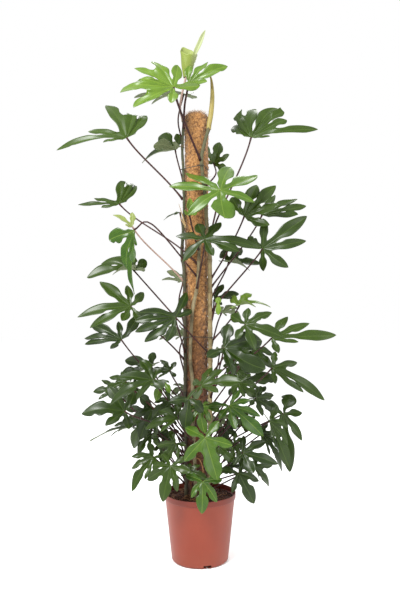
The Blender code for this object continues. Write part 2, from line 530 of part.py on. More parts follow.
def make_ties(parts, stems):
    """Coated wire ties, pulled taut round the pole and the stems that pass it."""
    material = new_material("black_coated_wire", (0.012, 0.012, 0.012), 0.5)
    for name, height in TIE_HEIGHTS.items():
        circles = [(POLE_X, 0.0, POLE_RADIUS)]
        for stem, line in stems.items():
            if line[-1].z > height:
                centre = point_at_height(line, height)
                circles.append((centre.x, centre.y, STEM_RADII[stem]))
        outline = hull_outline(circles, TIE_RADIUS + GAP * 3)
        loop = [Vector((x, y, height)) for x, y in outline]
        tube(name, loop, TIE_RADIUS, parts, material, sides=0, closed=True)


def make_roots_and_sheath(parts):
    root_material = new_material("dry_root", (0.45, 0.30, 0.17), 0.8)
    for name, points in ROOT_ROUTES.items():
        tube(name, smooth_route(points, 0.02), ROOT_RADIUS, parts, root_material, sides=1)
    sheath_material = new_material("dry_leaf_sheath", (0.55, 0.36, 0.09), 0.55)
    tube("leaf_sheath", [Vector(p) for p in SHEATH_ROUTE], SHEATH_RADII[0], parts,
         sheath_material, sides=1, radii=SHEATH_RADII)


def blade_frame(leaf):
    """The blade's own axes at the junction, raised so that the drooping tip ends in its place."""
    chord = Vector(leaf.tip).normalized()
    up = Vector(leaf.face)
    up = (up - up.dot(chord) * chord).normalized()
    along = (chord + leaf.droop * up).normalized()
    up = (up - leaf.droop * chord).normalized()
    across = up.cross(along)
    frame = Matrix((along, across, up)).transposed().to_4x4()
    frame.translation = Vector(leaf.at)
    return frame


def lobe_list(leaf, dice):
    """Each lobe's angle, length, half-breadth and parting, in order round the junction."""
    size = Vector(leaf.tip).length
    end_breadth, pairs = FORMS[leaf.form]
    looseness = OWN_FORM_LOOSENESS if leaf.form == leaf.name else 1.0
    lobes = [(0.0, size, size * end_breadth / 2, 0.0)]
    for angle, reach, breadth, parting, *single in pairs:
        for side in single or (1, -1):
            turn = math.radians(side * angle + dice.uniform(-9, 9) * looseness)
            length = size * reach * (1 + dice.uniform(-0.20, 0.12) * looseness)
            half_breadth = length * breadth * dice.uniform(0.90, 1.10) / 2
            lobes.append((turn, length, half_breadth, parting))
    return sorted(lobes)


def sinus_point(lobe, neighbour, side):
    """Where a lobe parts from its neighbour, or leaves the junction if it has none."""
    if neighbour:
        outer = max(lobe, neighbour, key=lambda each: abs(each[0]))
        angle = (lobe[0] + neighbour[0]) / 2
        reach = outer[3] * (lobe[1] + neighbour[1]) / 2
    else:
        angle = lobe[0] + side * math.radians(BACK_SINUS_ANGLE)
        reach = BACK_SINUS_DEPTH * lobe[1]
    return reach * math.cos(angle), reach * math.sin(angle)


def lobe_room(sinus, turn):
    """How wide a side of a lobe may grow before it meets its neighbour, per length along it."""
    angle = abs(math.remainder(math.atan2(sinus[1], sinus[0]) - turn, math.tau))
    return LOBE_PARTED * math.tan(angle) if angle < CLOSE_NEIGHBOUR else math.inf


def blade_fold(leaf, flat):
    """How far a point's half of the blade is folded up: most beside and behind the junction."""
    turn = abs(math.degrees(math.atan2(flat[1], flat[0])))
    share = min(1.0, max(0.0, (turn - RAISED_FROM) / RAISED_OVER))
    return math.radians(leaf.fold + leaf.raised * share * share * (3 - 2 * share))


def make_blade(leaf, dice):
    """One open sheet: a small grid for each lobe, joined at the junction and the sinuses."""
    lobes = lobe_list(leaf, dice)
    size = Vector(leaf.tip).length
    bm = bmesh.new()
    for i, lobe in enumerate(lobes):
        turn, length, half_breadth, _ = lobe
        sinus = {-1: sinus_point(lobe, lobes[i - 1] if i else None, -1),
                 1: sinus_point(lobe, lobes[i + 1] if i + 1 < len(lobes) else None, 1)}
        room = {side: lobe_room(point, turn) for side, point in sinus.items()}
        parted = max(math.hypot(*point) for point in sinus.values()) / length
        widest = max(LOBE_WIDEST, parted + LOBE_SWELL)
        widths = [(widest, 1.0)]
        if length > LOBE_WITH_SHOULDER:
            widths.append((1 - SHOULDER_FROM_TIP * (1 - widest), SHOULDER_BREADTH))
        stations = [(0.0, 0.0), None, *widths, (1.0, 0.0)]
        last = len(stations) - 1
        for vert in bmesh.ops.create_grid(bm, x_segments=last, y_segments=1, size=1.0)["verts"]:
            station = stations[round((vert.co.x + 1) * last / 2)]
            side = round(vert.co.y)
            if station is None:
                flat = sinus[side]
            else:
                run = station[0] * length
                off = min(station[1] * half_breadth, run * room[side]) * side
                flat = (run * math.cos(turn) - off * math.sin(turn),
                        run * math.sin(turn) + off * math.cos(turn))
            reach = math.hypot(*flat)
            fold = blade_fold(leaf, flat)
            vert.co = (flat[0], flat[1] * math.cos(fold),
                       abs(flat[1]) * math.sin(fold) - leaf.droop * reach * reach / size)
    bmesh.ops.remove_doubles(bm, verts=bm.verts, dist=WELD)
    bmesh.ops.dissolve_degenerate(bm, edges=bm.edges, dist=WELD)
    bmesh.ops.recalc_face_normals(bm, faces=bm.faces)
    bm.transform(blade_frame(leaf))
    mesh = bpy.data.meshes.new(leaf.name)
    bm.to_mesh(mesh)
    bm.free()
    return mesh


def stalk_route(leaf, stems):
    """From just off the stem, out and up, then through the blade at the junction."""
    junction = Vector(leaf.at)
    centre = point_at_height(stems[leaf.stem], leaf.height)
    first = Vector(leaf.via) if leaf.via else junction
    out = Vector((first.x - centre.x, first.y - centre.y, 0.0)).normalized()
    start = centre + out * (STEM_RADII[leaf.stem] + STALK_RADIUS + GAP * 2)
    rise = random.Random(f"stalk {leaf.name}").uniform(0.0, STALK_MOST_RISE)
    leave = ((first - start).normalized() + out * STALK_LEAN + Vector((0.0, 0.0, rise))).normalized()
    up = blade_frame(leaf).col[2].to_3d()
    arrive = (up * STALK_KNEE + (junction - start).normalized()).normalized()
    reach = (junction - start).length
    start_pull = start + leave * reach * STALK_START_PULL
    end_pull = junction - arrive * reach * STALK_END_PULL
    route = []
    for i in range(STALK_STEPS + 1):
        t = i / STALK_STEPS
        s = 1 - t
        route.append(start * s ** 3 + start_pull * 3 * s * s * t + end_pull * 3 * s * t * t
                     + junction * t ** 3)
    if leaf.via:
        route = smooth_route([start, leaf.via, junction], reach / STALK_STEPS)
    route.append(junction + up * STALK_THROUGH)
    return route


def make_leaf(leaf, stems, parts, material):
    """A leaf is one body: the blade as a thin shell, joined to its stalk."""
    dice = random.Random(f"{LEAF_SEED} {leaf.name}")
    blade = place_object(leaf.name, make_blade(leaf, dice), parts, material)
    shell = blade.modifiers.new("thickness", "SOLIDIFY")
    shell.thickness = BLADE_THICKNESS
    shell.offset = 0.0
    stalk_curve = tube("stalk", stalk_route(leaf, stems), STALK_RADIUS, parts, sides=0)
    stalk = place_object("stalk_mesh", finished_mesh(stalk_curve), parts)
    bpy.data.objects.remove(stalk_curve, do_unlink=True)
    union = blade.modifiers.new("join_stalk", "BOOLEAN")
    union.operation = "UNION"
    union.object = stalk
    joined = finished_mesh(blade)
    bpy.data.objects.remove(blade, do_unlink=True)
    bpy.data.objects.remove(stalk, do_unlink=True)
    leaf_object = place_object(leaf.name, joined, parts)
    joined.materials.clear()
    joined.materials.append(material)
    return leaf_object


def main():
    clear_scene()
    parts = new_collection("potted_philodendron")
    cutters = new_collection("cutters")
    make_pot(parts, cutters)
    make_pole(parts)
    stems = make_stems(parts)
    make_soil(parts, cutters, stems)
    make_ties(parts, stems)
    make_roots_and_sheath(parts)
    leaf_material = new_material("leaf", (0.035, 0.13, 0.025), 0.35)
    new_leaf_material = new_material("new_leaf", (0.30, 0.48, 0.10), 0.45)
    for leaf in LEAVES:
        make_leaf(leaf, stems, parts, new_leaf_material if leaf.form == "furled" else leaf_material)


main()
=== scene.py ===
# Potted philodendron: three climbing stems tied to a coir pole in a nursery pot.
# Metres, +Z up, -Y is the front, and the origin is the middle of the pot's underside.
import math
import random
from collections import namedtuple

import bmesh
import bpy
from mathutils import Matrix, Vector, noise


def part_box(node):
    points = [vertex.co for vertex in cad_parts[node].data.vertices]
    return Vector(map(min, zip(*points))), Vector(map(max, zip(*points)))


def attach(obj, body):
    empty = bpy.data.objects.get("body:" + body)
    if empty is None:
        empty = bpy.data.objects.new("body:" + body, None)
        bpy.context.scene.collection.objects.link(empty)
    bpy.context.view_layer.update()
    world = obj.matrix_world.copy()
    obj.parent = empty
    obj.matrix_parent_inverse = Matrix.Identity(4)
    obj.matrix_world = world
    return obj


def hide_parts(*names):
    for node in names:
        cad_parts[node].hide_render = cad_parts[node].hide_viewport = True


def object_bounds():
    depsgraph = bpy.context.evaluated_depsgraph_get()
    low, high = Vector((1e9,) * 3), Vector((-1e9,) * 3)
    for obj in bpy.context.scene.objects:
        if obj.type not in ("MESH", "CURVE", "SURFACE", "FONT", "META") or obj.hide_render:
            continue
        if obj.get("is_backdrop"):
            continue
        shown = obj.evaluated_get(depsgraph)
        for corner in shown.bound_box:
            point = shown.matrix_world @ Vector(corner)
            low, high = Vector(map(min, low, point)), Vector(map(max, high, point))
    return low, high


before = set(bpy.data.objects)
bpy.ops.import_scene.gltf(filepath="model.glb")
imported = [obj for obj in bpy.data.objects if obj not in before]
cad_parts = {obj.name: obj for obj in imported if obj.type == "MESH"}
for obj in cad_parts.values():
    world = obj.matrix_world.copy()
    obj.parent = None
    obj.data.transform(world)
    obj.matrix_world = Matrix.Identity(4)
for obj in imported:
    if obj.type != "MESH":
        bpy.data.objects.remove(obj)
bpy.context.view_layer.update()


# ---- Nursery pot --------------------------------------------------------------------
# Injection-moulded polypropylene in a terracotta colour: a thin tapered wall with a
# stiffening band at the rim, a rounded foot, and drain holes round the foot.

pot_rim_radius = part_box("pot")[1].x
pot_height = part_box("pot")[1].z
pot_body_radius = pot_rim_radius - 0.0035
pot_base_radius = 0.095
rim_band = 0.018
pot_wall = 0.002
pot_floor = 0.003
foot_round = 0.008
drain_ring = 0.088
drain_radius = 0.006
drain_count = 6
drain_first_angle = -75
slot_ring = 0.094               # beside every other hole a slot runs out through the wall's foot
slot_height = 0.0075
slot_size = (0.022, 0.026, 0.0075)
lip_round = 0.0011
band_round = 0.0018
foot_recess = 0.0018            # the base stands on a ring this far below its middle
axis = 0.000001                 # radius of a turned profile's first and last ring


def colour(code):
    """An sRGB hex colour as linear red, green, blue and alpha."""
    shares = [int(code[i:i + 2], 16) / 255 for i in (1, 3, 5)]
    linear = [c / 12.92 if c <= 0.04045 else ((c + 0.055) / 1.055) ** 2.4 for c in shares]
    return (*linear, 1.0)


def connect(material, source, socket):
    """Feed a socket from another, or from a node's main output."""
    if isinstance(source, bpy.types.Node):
        main = {"ShaderNodeMix": 2, "ShaderNodeTexCoord": "Object"}
        source = source.outputs[main.get(source.bl_idname, 0)]
    material.node_tree.links.new(source, socket)


def add_node(material, kind, settings, links=None):
    """Add a node; settings are its properties or inputs, links feed its inputs."""
    node = material.node_tree.nodes.new("ShaderNode" + kind)
    for key, value in settings.items():
        if isinstance(key, str) and hasattr(node, key):
            setattr(node, key, value)
        else:
            node.inputs[key].default_value = colour(value) if isinstance(value, str) else value
    for key, source in (links or {}).items():
        connect(material, source, node.inputs[key])
    return node


def new_material(name, **sockets):
    """A material and its Principled shader, with the named sockets set."""
    material = bpy.data.materials.new(name)
    material.use_nodes = True
    shader = material.node_tree.nodes["Principled BSDF"]
    for name_of_socket, value in sockets.items():
        socket = shader.inputs[name_of_socket.replace("_", " ").title().replace("Ior", "IOR")]
        socket.default_value = colour(value) if isinstance(value, str) else value
    return material, shader


def deselect_all():
    bpy.ops.object.select_all(action="DESELECT")


def cut_away(piece, tool):
    """Subtract the tool's shape from the piece, and throw the tool away."""
    cut = piece.modifiers.new("cut", "BOOLEAN")
    cut.operation = "DIFFERENCE"
    cut.object = tool
    bpy.context.view_layer.objects.active = piece
    bpy.ops.object.modifier_apply(modifier="cut")
    bpy.data.objects.remove(tool, do_unlink=True)


def arc(centre, radius, start, end, steps):
    """Points (radius, height) on an arc of a turned profile, angles in degrees."""
    angles = [math.radians(start + (end - start) * i / steps) for i in range(steps + 1)]
    return [(centre[0] + radius * math.cos(a), centre[1] + radius * math.sin(a)) for a in angles]


def turn_profile(name, profile, sides):
    """Extrude a ring of points along a profile of (radius, height), then weld it."""
    deselect_all()
    bpy.ops.mesh.primitive_circle_add(vertices=sides, radius=1.0, location=(0.0, 0.0, 0.0))
    piece = bpy.context.object
    piece.name = name
    bpy.ops.object.mode_set(mode="EDIT")
    for step, (radius, height) in enumerate(profile):
        if step:
            bpy.ops.mesh.extrude_edges_indiv()
        mesh = bmesh.from_edit_mesh(piece.data)
        for vert in mesh.verts:
            if vert.select:
                level = Vector((vert.co.x, vert.co.y, 0.0)).normalized() * radius
                vert.co = (level.x, level.y, height)
        bmesh.update_edit_mesh(piece.data)
    bpy.ops.mesh.select_all(action="SELECT")
    bpy.ops.mesh.remove_doubles(threshold=0.0001)
    bpy.ops.mesh.normals_make_consistent(inside=False)
    bpy.ops.object.mode_set(mode="OBJECT")
    return piece


def wall_radius(height):
    share = height / (pot_height - rim_band)
    return pot_base_radius + (pot_body_radius - pot_base_radius) * share


band_bottom = pot_height - rim_band
inner_foot = wall_radius(pot_floor) - pot_wall
pot = turn_profile("moulded_pot", [
    (axis, pot_floor),
    *arc((inner_foot - 0.005, pot_floor + 0.005), 0.005, -90, -5, 6),
    (pot_body_radius - pot_wall, band_bottom - 0.002),
    (pot_rim_radius - pot_wall, band_bottom + 0.001),
    *arc((pot_rim_radius - lip_round, pot_height - lip_round), lip_round, 180, 0, 8),
    (pot_rim_radius - 0.0005, pot_height - 0.004),
    (pot_rim_radius, pot_height - 0.008),
    (pot_rim_radius - 0.0002, pot_height - 0.012),
    *arc((pot_rim_radius - 0.0022, band_bottom + band_round), band_round, 0, -90, 6),
    *arc((pot_body_radius + 0.0008, band_bottom - 0.0008), 0.0008, 90, 180, 4),
    *arc((pot_base_radius - foot_round, foot_round), foot_round, 2, -90, 8),
    (pot_base_radius - foot_round - 0.003, 0.0),
    (pot_base_radius - foot_round - 0.004, foot_recess),
    (0.020, foot_recess),
    (axis, foot_recess),
], 144)
for i in range(drain_count):
    angle = math.radians(drain_first_angle + 360 * i / drain_count)
    deselect_all()
    bpy.ops.mesh.primitive_cylinder_add(
        vertices=24, radius=drain_radius, depth=0.03,
        location=(drain_ring * math.cos(angle), drain_ring * math.sin(angle), 0.0))
    cut_away(pot, bpy.context.object)
    if i % 2 == 0:
        bpy.ops.mesh.primitive_cube_add(
            size=1.0, rotation=(0.0, 0.0, angle), scale=slot_size,
            location=(slot_ring * math.cos(angle), slot_ring * math.sin(angle), slot_height))
        bpy.ops.object.transform_apply(location=True, rotation=True, scale=True)
        cut_away(pot, bpy.context.object)
pot.select_set(True)
bpy.ops.object.shade_smooth_by_angle(angle=math.radians(28))

# Coloured polypropylene straight from the mould: satin, with a faint orange-peel skin
# of about 1 mm, cloudy pigment, and a film of dust that thickens towards the foot.
polypropylene, shader = new_material(
    "moulded_polypropylene", roughness=0.40, ior=1.49, specular_ior_level=0.4)
place = add_node(polypropylene, "TexCoord", {})
cloud = add_node(polypropylene, "TexNoise", {"Scale": 14.0, "Detail": 4.0, "Roughness": 0.6},
                 {"Vector": place})
pigment = add_node(polypropylene, "Mix", {"data_type": "RGBA", 6: "#722A17", 7: "#82341E"},
                   {0: cloud})
height = add_node(polypropylene, "SeparateXYZ", {}, {0: place})
dust_band = add_node(polypropylene, "MapRange", {"From Min": 0.07, "From Max": 0.0,
                                                 "To Min": 0.0, "To Max": 0.20},
                     {"Value": height.outputs["Z"]})
specks = add_node(polypropylene, "TexNoise", {"Scale": 420.0, "Detail": 2.0}, {"Vector": place})
dust = add_node(polypropylene, "Math", {"operation": "MULTIPLY"}, {0: dust_band, 1: specks})
dusty = add_node(polypropylene, "Mix", {"data_type": "RGBA", 7: "#8E6450"}, {0: dust, 6: pigment})
# Painted shade: the rim band's colour is darkened towards #5A1608, standing in for the shade under
# the rounded lip.
painted_rim_shade_share = add_node(polypropylene, "MapRange", {
    "From Min": band_bottom - 0.0030, "From Max": band_bottom - 0.0005, "To Max": 0.55},
    {"Value": height.outputs["Z"]})
pot_colour_with_painted_rim_shade = add_node(polypropylene, "Mix", {"data_type": "RGBA", 7: "#5A1608"},
                  {0: painted_rim_shade_share, 6: dusty})
connect(polypropylene, pot_colour_with_painted_rim_shade, shader.inputs["Base Color"])
wear = add_node(polypropylene, "MapRange", {"To Min": 0.36, "To Max": 0.50}, {"Value": cloud})
connect(polypropylene, wear, shader.inputs["Roughness"])
peel = add_node(polypropylene, "TexNoise", {"Scale": 900.0, "Detail": 1.0}, {"Vector": place})
skin = add_node(polypropylene, "Bump", {"Strength": 0.12, "Distance": 0.0002}, {"Height": peel})
connect(polypropylene, skin, shader.inputs["Normal"])
pot.data.materials.append(polypropylene)
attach(pot, "root")
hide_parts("pot")


# ---- Potting mix ---------------------------------------------------------------------
# Damp peat and coir that crowns up round the pole.  The root ball is one turned body
# with a rough top, and crumbs, bark chips and old roots lie loose on it.

soil_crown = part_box("soil")[1].z
soil_edge = 0.204
soil_radius = pot_body_radius - pot_wall - 0.0006


def soil_height(x, y):
    """Height of the mix's rough top over a point."""
    share = min(1.0, math.hypot(x, y) / soil_radius)
    crown = soil_edge + (soil_crown - soil_edge - 0.003) * (1 - share ** 2.5)
    lumps = 0.0035 * noise.noise(Vector((x, y, 0.0)) * 55)
    grains = 0.0020 * noise.noise(Vector((x, y, 0.3)) * 170)
    return crown + lumps + grains


rings = 46
soil = turn_profile("root_ball", [
    *[(max(axis, soil_radius * i / rings), soil_crown) for i in range(rings + 1)],
    (wall_radius(0.1) - pot_wall - 0.0004, 0.1),
    (wall_radius(0.008) - pot_wall - 0.0006, 0.008),
    (axis, 0.0034),
], 120)
for vert in soil.data.vertices:
    if vert.co.z > soil_crown - 0.0001:
        vert.co.z = soil_height(vert.co.x, vert.co.y)
soil.select_set(True)
bpy.ops.object.shade_smooth_by_angle(angle=math.radians(60))

# Damp peat, coir and bark fines: red-brown grains of 1 to 4 mm, with darker wet hollows.
potting_mix, shader = new_material("damp_peat_and_coir", roughness=0.92, specular_ior_level=0.25)
place = add_node(potting_mix, "TexCoord", {})
grain = add_node(potting_mix, "TexVoronoi", {"Scale": 320.0, "Randomness": 1.0}, {"Vector": place})
clump = add_node(potting_mix, "TexNoise", {"Scale": 70.0, "Detail": 5.0, "Roughness": 0.7},
                 {"Vector": place})
damp = add_node(potting_mix, "Mix", {"data_type": "RGBA", 6: "#140A06", 7: "#3A2016"}, {0: clump})
chance = add_node(potting_mix, "SeparateXYZ", {}, {0: grain.outputs["Color"]})
bark_bits = add_node(potting_mix, "MapRange", {"From Min": 0.60, "From Max": 1.0, "To Max": 0.8},
                     {"Value": chance.outputs["X"]})
earthy = add_node(potting_mix, "Mix", {"data_type": "RGBA", 7: "#5E3420"}, {0: bark_bits, 6: damp})
connect(potting_mix, earthy, shader.inputs["Base Color"])
rough = add_node(potting_mix, "Bump", {"Strength": 0.9, "Distance": 0.0015},
                 {"Height": grain.outputs["Distance"]})
connect(potting_mix, rough, shader.inputs["Normal"])
soil.data.materials.append(potting_mix)
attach(soil, "root")
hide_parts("soil")


def scatter(name, model, places):
    """One piece made of copies of a mesh, each put where its matrix says."""
    gathered = bmesh.new()
    for matrix in places:
        copy = model.copy()
        copy.transform(matrix)
        gathered.from_mesh(copy)
        bpy.data.meshes.remove(copy)
    mesh = bpy.data.meshes.new(name)
    gathered.to_mesh(mesh)
    gathered.free()
    piece = bpy.data.objects.new(name, mesh)
    bpy.context.scene.collection.objects.link(piece)
    return piece


def random_turn(dice):
    axis_of_turn = Vector((dice.gauss(0, 1), dice.gauss(0, 1), dice.gauss(0, 1))).normalized()
    return Matrix.Rotation(dice.uniform(0, math.tau), 4, axis_of_turn)


deselect_all()
bpy.ops.mesh.primitive_ico_sphere_add(subdivisions=2, radius=1.0, location=(0.0, 0.0, 0.0))
lump = bpy.context.object
for vert in lump.data.vertices:
    vert.co *= 1.0 + 0.55 * noise.noise(vert.co * 1.7)
    vert.co.z *= 0.7
dice = random.Random(5)
crumb_count = 620
crumb_places = []
for _ in range(crumb_count):
    bearing = dice.uniform(0, math.tau)
    reach = soil_radius * 0.98 * math.sqrt(dice.random())
    spot = Vector((reach * math.cos(bearing), reach * math.sin(bearing), 0.0))
    spot.z = soil_height(spot.x, spot.y)
    size = dice.choice((0.0014, 0.0018, 0.0022, 0.0030, 0.0042))
    crumb_places.append(Matrix.Translation(spot) @ random_turn(dice)
                        @ Matrix.Diagonal((size * dice.uniform(0.8, 1.7), size, size * 0.8, 1.0)))
crumbs = scatter("soil_crumbs", lump.data, crumb_places)
bpy.data.objects.remove(lump, do_unlink=True)
crumbs.data.materials.append(potting_mix)
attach(crumbs, "root")


# ---- Coir pole ------------------------------------------------------------------------
# A pine stake rolled in a mat of coconut fibre, which fine stitching inside the roll pulls
# in so that it bulges in clumps.  The stake stays hidden, and loose fibres stand off.

sleeve_low, sleeve_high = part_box("coir_sleeve")
pole_x = (sleeve_low.x + sleeve_high.x) / 2
pole_radius = (sleeve_high.x - sleeve_low.x) / 2
pole_top = sleeve_high.z
pole_bottom = sleeve_low.z
clump_size = 0.019              # across one bulge of the bound mat, metres
crown_round = 0.016


def start_piece(name):
    """Open an empty piece in edit mode, with nothing else selected."""
    deselect_all()
    bpy.ops.mesh.primitive_plane_add(size=1.0, location=(0.0, 0.0, 0.0))
    piece = bpy.context.object
    piece.name = name
    piece.data.name = name
    bpy.ops.object.mode_set(mode="EDIT")
    bpy.ops.mesh.select_all(action="SELECT")
    bpy.ops.mesh.delete(type="VERT")
    return piece


def add_patch(piece, columns, rows, spot, material_index=0):
    """Add a grid to the open piece; spot(column, row) gives each point's place and UV."""
    bpy.ops.mesh.select_all(action="DESELECT")
    bpy.ops.mesh.primitive_grid_add(x_subdivisions=columns, y_subdivisions=rows, size=2.0,
                                    location=(0.0, 0.0, 0.0))
    mesh = bmesh.from_edit_mesh(piece.data)
    marks = mesh.loops.layers.uv.verify()
    spots = {}
    for vert in mesh.verts:
        if vert.select:
            spots[vert] = spot(round((vert.co.x + 1) / 2 * columns),
                               round((vert.co.y + 1) / 2 * rows))
    for face in mesh.faces:
        if face.select:
            face.smooth = True
            face.material_index = material_index
            for loop in face.loops:
                loop[marks].uv = spots[loop.vert][1]
    for vert, (point, _) in spots.items():
        vert.co = point
    bmesh.update_edit_mesh(piece.data)


def close_piece(piece, *materials, weld=0.00002):
    """Weld the open piece's patches and leave edit mode."""
    bpy.ops.mesh.select_all(action="SELECT")
    bpy.ops.mesh.remove_doubles(threshold=weld)
    bpy.ops.object.mode_set(mode="OBJECT")
    for material in materials:
        piece.data.materials.append(material)


def crease(bearing, height):
    """How deep the mat is pulled in at a place: 1 in the seams between its clumps, 0 on them."""
    spot = Vector((math.cos(bearing) * pole_radius, math.sin(bearing) * pole_radius, height))
    spot += 0.008 * Vector((noise.noise(spot * 60), noise.noise(spot * 60 + spot.zyx), 0.0))
    nearest = noise.voronoi(Vector((spot.x, spot.y, spot.z * 0.85)) / clump_size)[0]
    return math.exp(-((nearest[1] - nearest[0]) / 0.16) ** 2)


def mat_radius(bearing, height):
    """The mat's outer radius at a bearing and height."""
    across = Vector((math.cos(bearing) * pole_radius, math.sin(bearing) * pole_radius, height))
    tightness = 0.0006 + 0.0020 * min(1.0, max(0.0, (1.30 - height) / 0.5))
    tufts = 0.0022 * noise.noise(across * 30) + 0.0036 * noise.noise(across * 95)
    return pole_radius - 0.0010 - tightness * crease(bearing, height) + tufts


sleeve_columns, sleeve_rows = 120, 420


def sleeve_spot(column, row):
    bearing = math.tau * column / sleeve_columns
    share = row / sleeve_rows
    height = pole_bottom + (pole_top - pole_bottom) * share
    radius = mat_radius(bearing, height)
    over = (height - (pole_top - crown_round)) / crown_round
    if over > 0:
        radius *= math.sqrt(max(0.0, 1 - over ** 2))
    if row == 0:
        radius = 0.0
    if row == 1:
        height = pole_bottom
    return ((pole_x + radius * math.cos(bearing), radius * math.sin(bearing), height),
            (column / sleeve_columns, height))


sleeve = start_piece("coir_mat")
add_patch(sleeve, sleeve_columns, sleeve_rows, sleeve_spot)

# Coconut fibre: dull gold where it is dry, red-brown where water wicks up from the pot,
# with painted shade in the creases between clumps and in noisy hollows, stronger low down.  Fibres
# are 0.3 mm thick, drawn as 1 mm streaks so they show.
coir, shader = new_material("rolled_coconut_fibre", roughness=0.95, specular_ior_level=0.15,
                            sheen_weight=0.25, sheen_roughness=0.6)
place = add_node(coir, "TexCoord", {})
warp = add_node(coir, "TexNoise", {"Scale": 60.0, "Detail": 3.0}, {"Vector": place})
swirl = add_node(coir, "VectorMath", {"operation": "MULTIPLY_ADD", 1: (0.02, 0.02, 0.02)},
                 {0: warp.outputs["Color"], 2: place})
level = add_node(coir, "Mapping", {"Scale": (1.0, 1.0, 5.0)}, {"Vector": swirl})
upright = add_node(coir, "Mapping", {"Scale": (3.5, 3.5, 0.8)}, {"Vector": swirl})
level_fibres = add_node(coir, "TexNoise", {"Scale": 170.0, "Detail": 4.0, "Roughness": 0.7},
                        {"Vector": level})
upright_fibres = add_node(coir, "TexNoise", {"Scale": 220.0, "Detail": 4.0, "Roughness": 0.7},
                          {"Vector": upright})
fibres = add_node(coir, "Math", {"operation": "MAXIMUM"}, {0: level_fibres, 1: upright_fibres})
strands = add_node(coir, "MapRange", {"From Min": 0.45, "From Max": 0.72}, {"Value": fibres})
height = add_node(coir, "SeparateXYZ", {}, {0: place})
wicking = add_node(coir, "MapRange", {"interpolation_type": "SMOOTHSTEP", "From Min": 0.90,
                                      "From Max": 0.50}, {"Value": height.outputs["Z"]})
dry = add_node(coir, "Mix", {"data_type": "RGBA", 6: "#74481F", 7: "#D2A062"}, {0: strands})
damp = add_node(coir, "Mix", {"data_type": "RGBA", 6: "#3C1E10", 7: "#8A5230"}, {0: strands})
mat = add_node(coir, "Mix", {"data_type": "RGBA"}, {0: wicking, 6: dry, 7: damp})
# Painted shade: dark brown is painted into the creases between clumps, from the crease attribute and
# stronger lower down, and into noise-placed hollows.
crease_mask_for_painted_shade = add_node(coir, "Attribute", {"attribute_name": "crease"})
painted_crease_shade_by_height = add_node(coir, "MapRange", {"From Min": 1.30, "From Max": 0.85, "To Min": 0.14,
                                          "To Max": 0.60}, {"Value": height.outputs["Z"]})
shade = add_node(coir, "Math", {"operation": "MULTIPLY"},
                 {0: crease_mask_for_painted_shade.outputs["Fac"], 1: painted_crease_shade_by_height})
knots = add_node(coir, "TexNoise", {"Scale": 105.0, "Detail": 3.0, "Roughness": 0.65},
                 {"Vector": swirl})
painted_hollow_shade = add_node(coir, "MapRange", {"From Min": 0.54, "From Max": 0.38, "To Max": 0.75},
                   {"Value": knots})
painted_shade_share = add_node(coir, "Math", {"operation": "MAXIMUM"}, {0: shade, 1: painted_hollow_shade})
coir_colour_with_painted_shade = add_node(coir, "Mix", {"data_type": "RGBA", 7: "#44260F"}, {0: painted_shade_share, 6: mat})
connect(coir, coir_colour_with_painted_shade, shader.inputs["Base Color"])
hairy = add_node(coir, "Bump", {"Strength": 0.8, "Distance": 0.0012}, {"Height": fibres})
connect(coir, hairy, shader.inputs["Normal"])
close_piece(sleeve, coir)
depths = sleeve.data.attributes.new("crease", "FLOAT", "POINT")
for vert, depth in zip(sleeve.data.vertices, depths.data):
    bearing = math.atan2(vert.co.y, vert.co.x - pole_x)
    depth.value = crease(bearing % math.tau, vert.co.z)
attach(sleeve, "root")
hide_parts("coir_sleeve", "pole_core")


def smooth_route(points, spacing):
    """Points about `spacing` apart on the smooth curve through the given ones."""
    nodes = [Vector(p) for p in points]
    ends = [2 * nodes[0] - nodes[1], *nodes, 2 * nodes[-1] - nodes[-2]]
    route = []
    for before, start, end, after in zip(ends, ends[1:], ends[2:], ends[3:]):
        steps = max(1, round((end - start).length / spacing))
        for i in range(steps):
            t = i / steps
            route.append(0.5 * (2 * start + (end - before) * t
                                + (2 * before - 5 * start + 4 * end - after) * t ** 2
                                + (3 * start - before - 3 * end + after) * t ** 3))
    route.append(nodes[-1])
    return route


def add_bar(piece, route, radii, sides, material_index=0):
    """Add a round bar along a route to the open piece, closed at both ends."""
    ways = [(b - a).normalized() for a, b in zip(route, route[1:])]
    tangents = [ways[0], *[(a + b).normalized() for a, b in zip(ways, ways[1:])], ways[-1]]
    side = tangents[0].orthogonal().normalized()
    sections = []
    for before, tangent in zip([tangents[0], *tangents], tangents):
        side = before.rotation_difference(tangent) @ side
        sections.append((side, tangent.cross(side)))
    run = [0.0]
    for a, b in zip(route, route[1:]):
        run.append(run[-1] + (b - a).length)
    last = len(route) - 1

    def spot(column, row):
        step = min(max(row - 1, 0), last)
        radius = 0.0 if row in (0, last + 2) else radii[step]
        turn = math.tau * column / sides
        out = sections[step][0] * math.cos(turn) + sections[step][1] * math.sin(turn)
        return route[step] + out * radius, (column / sides, run[step] * 5)

    add_patch(piece, sides, last + 2, spot, material_index)


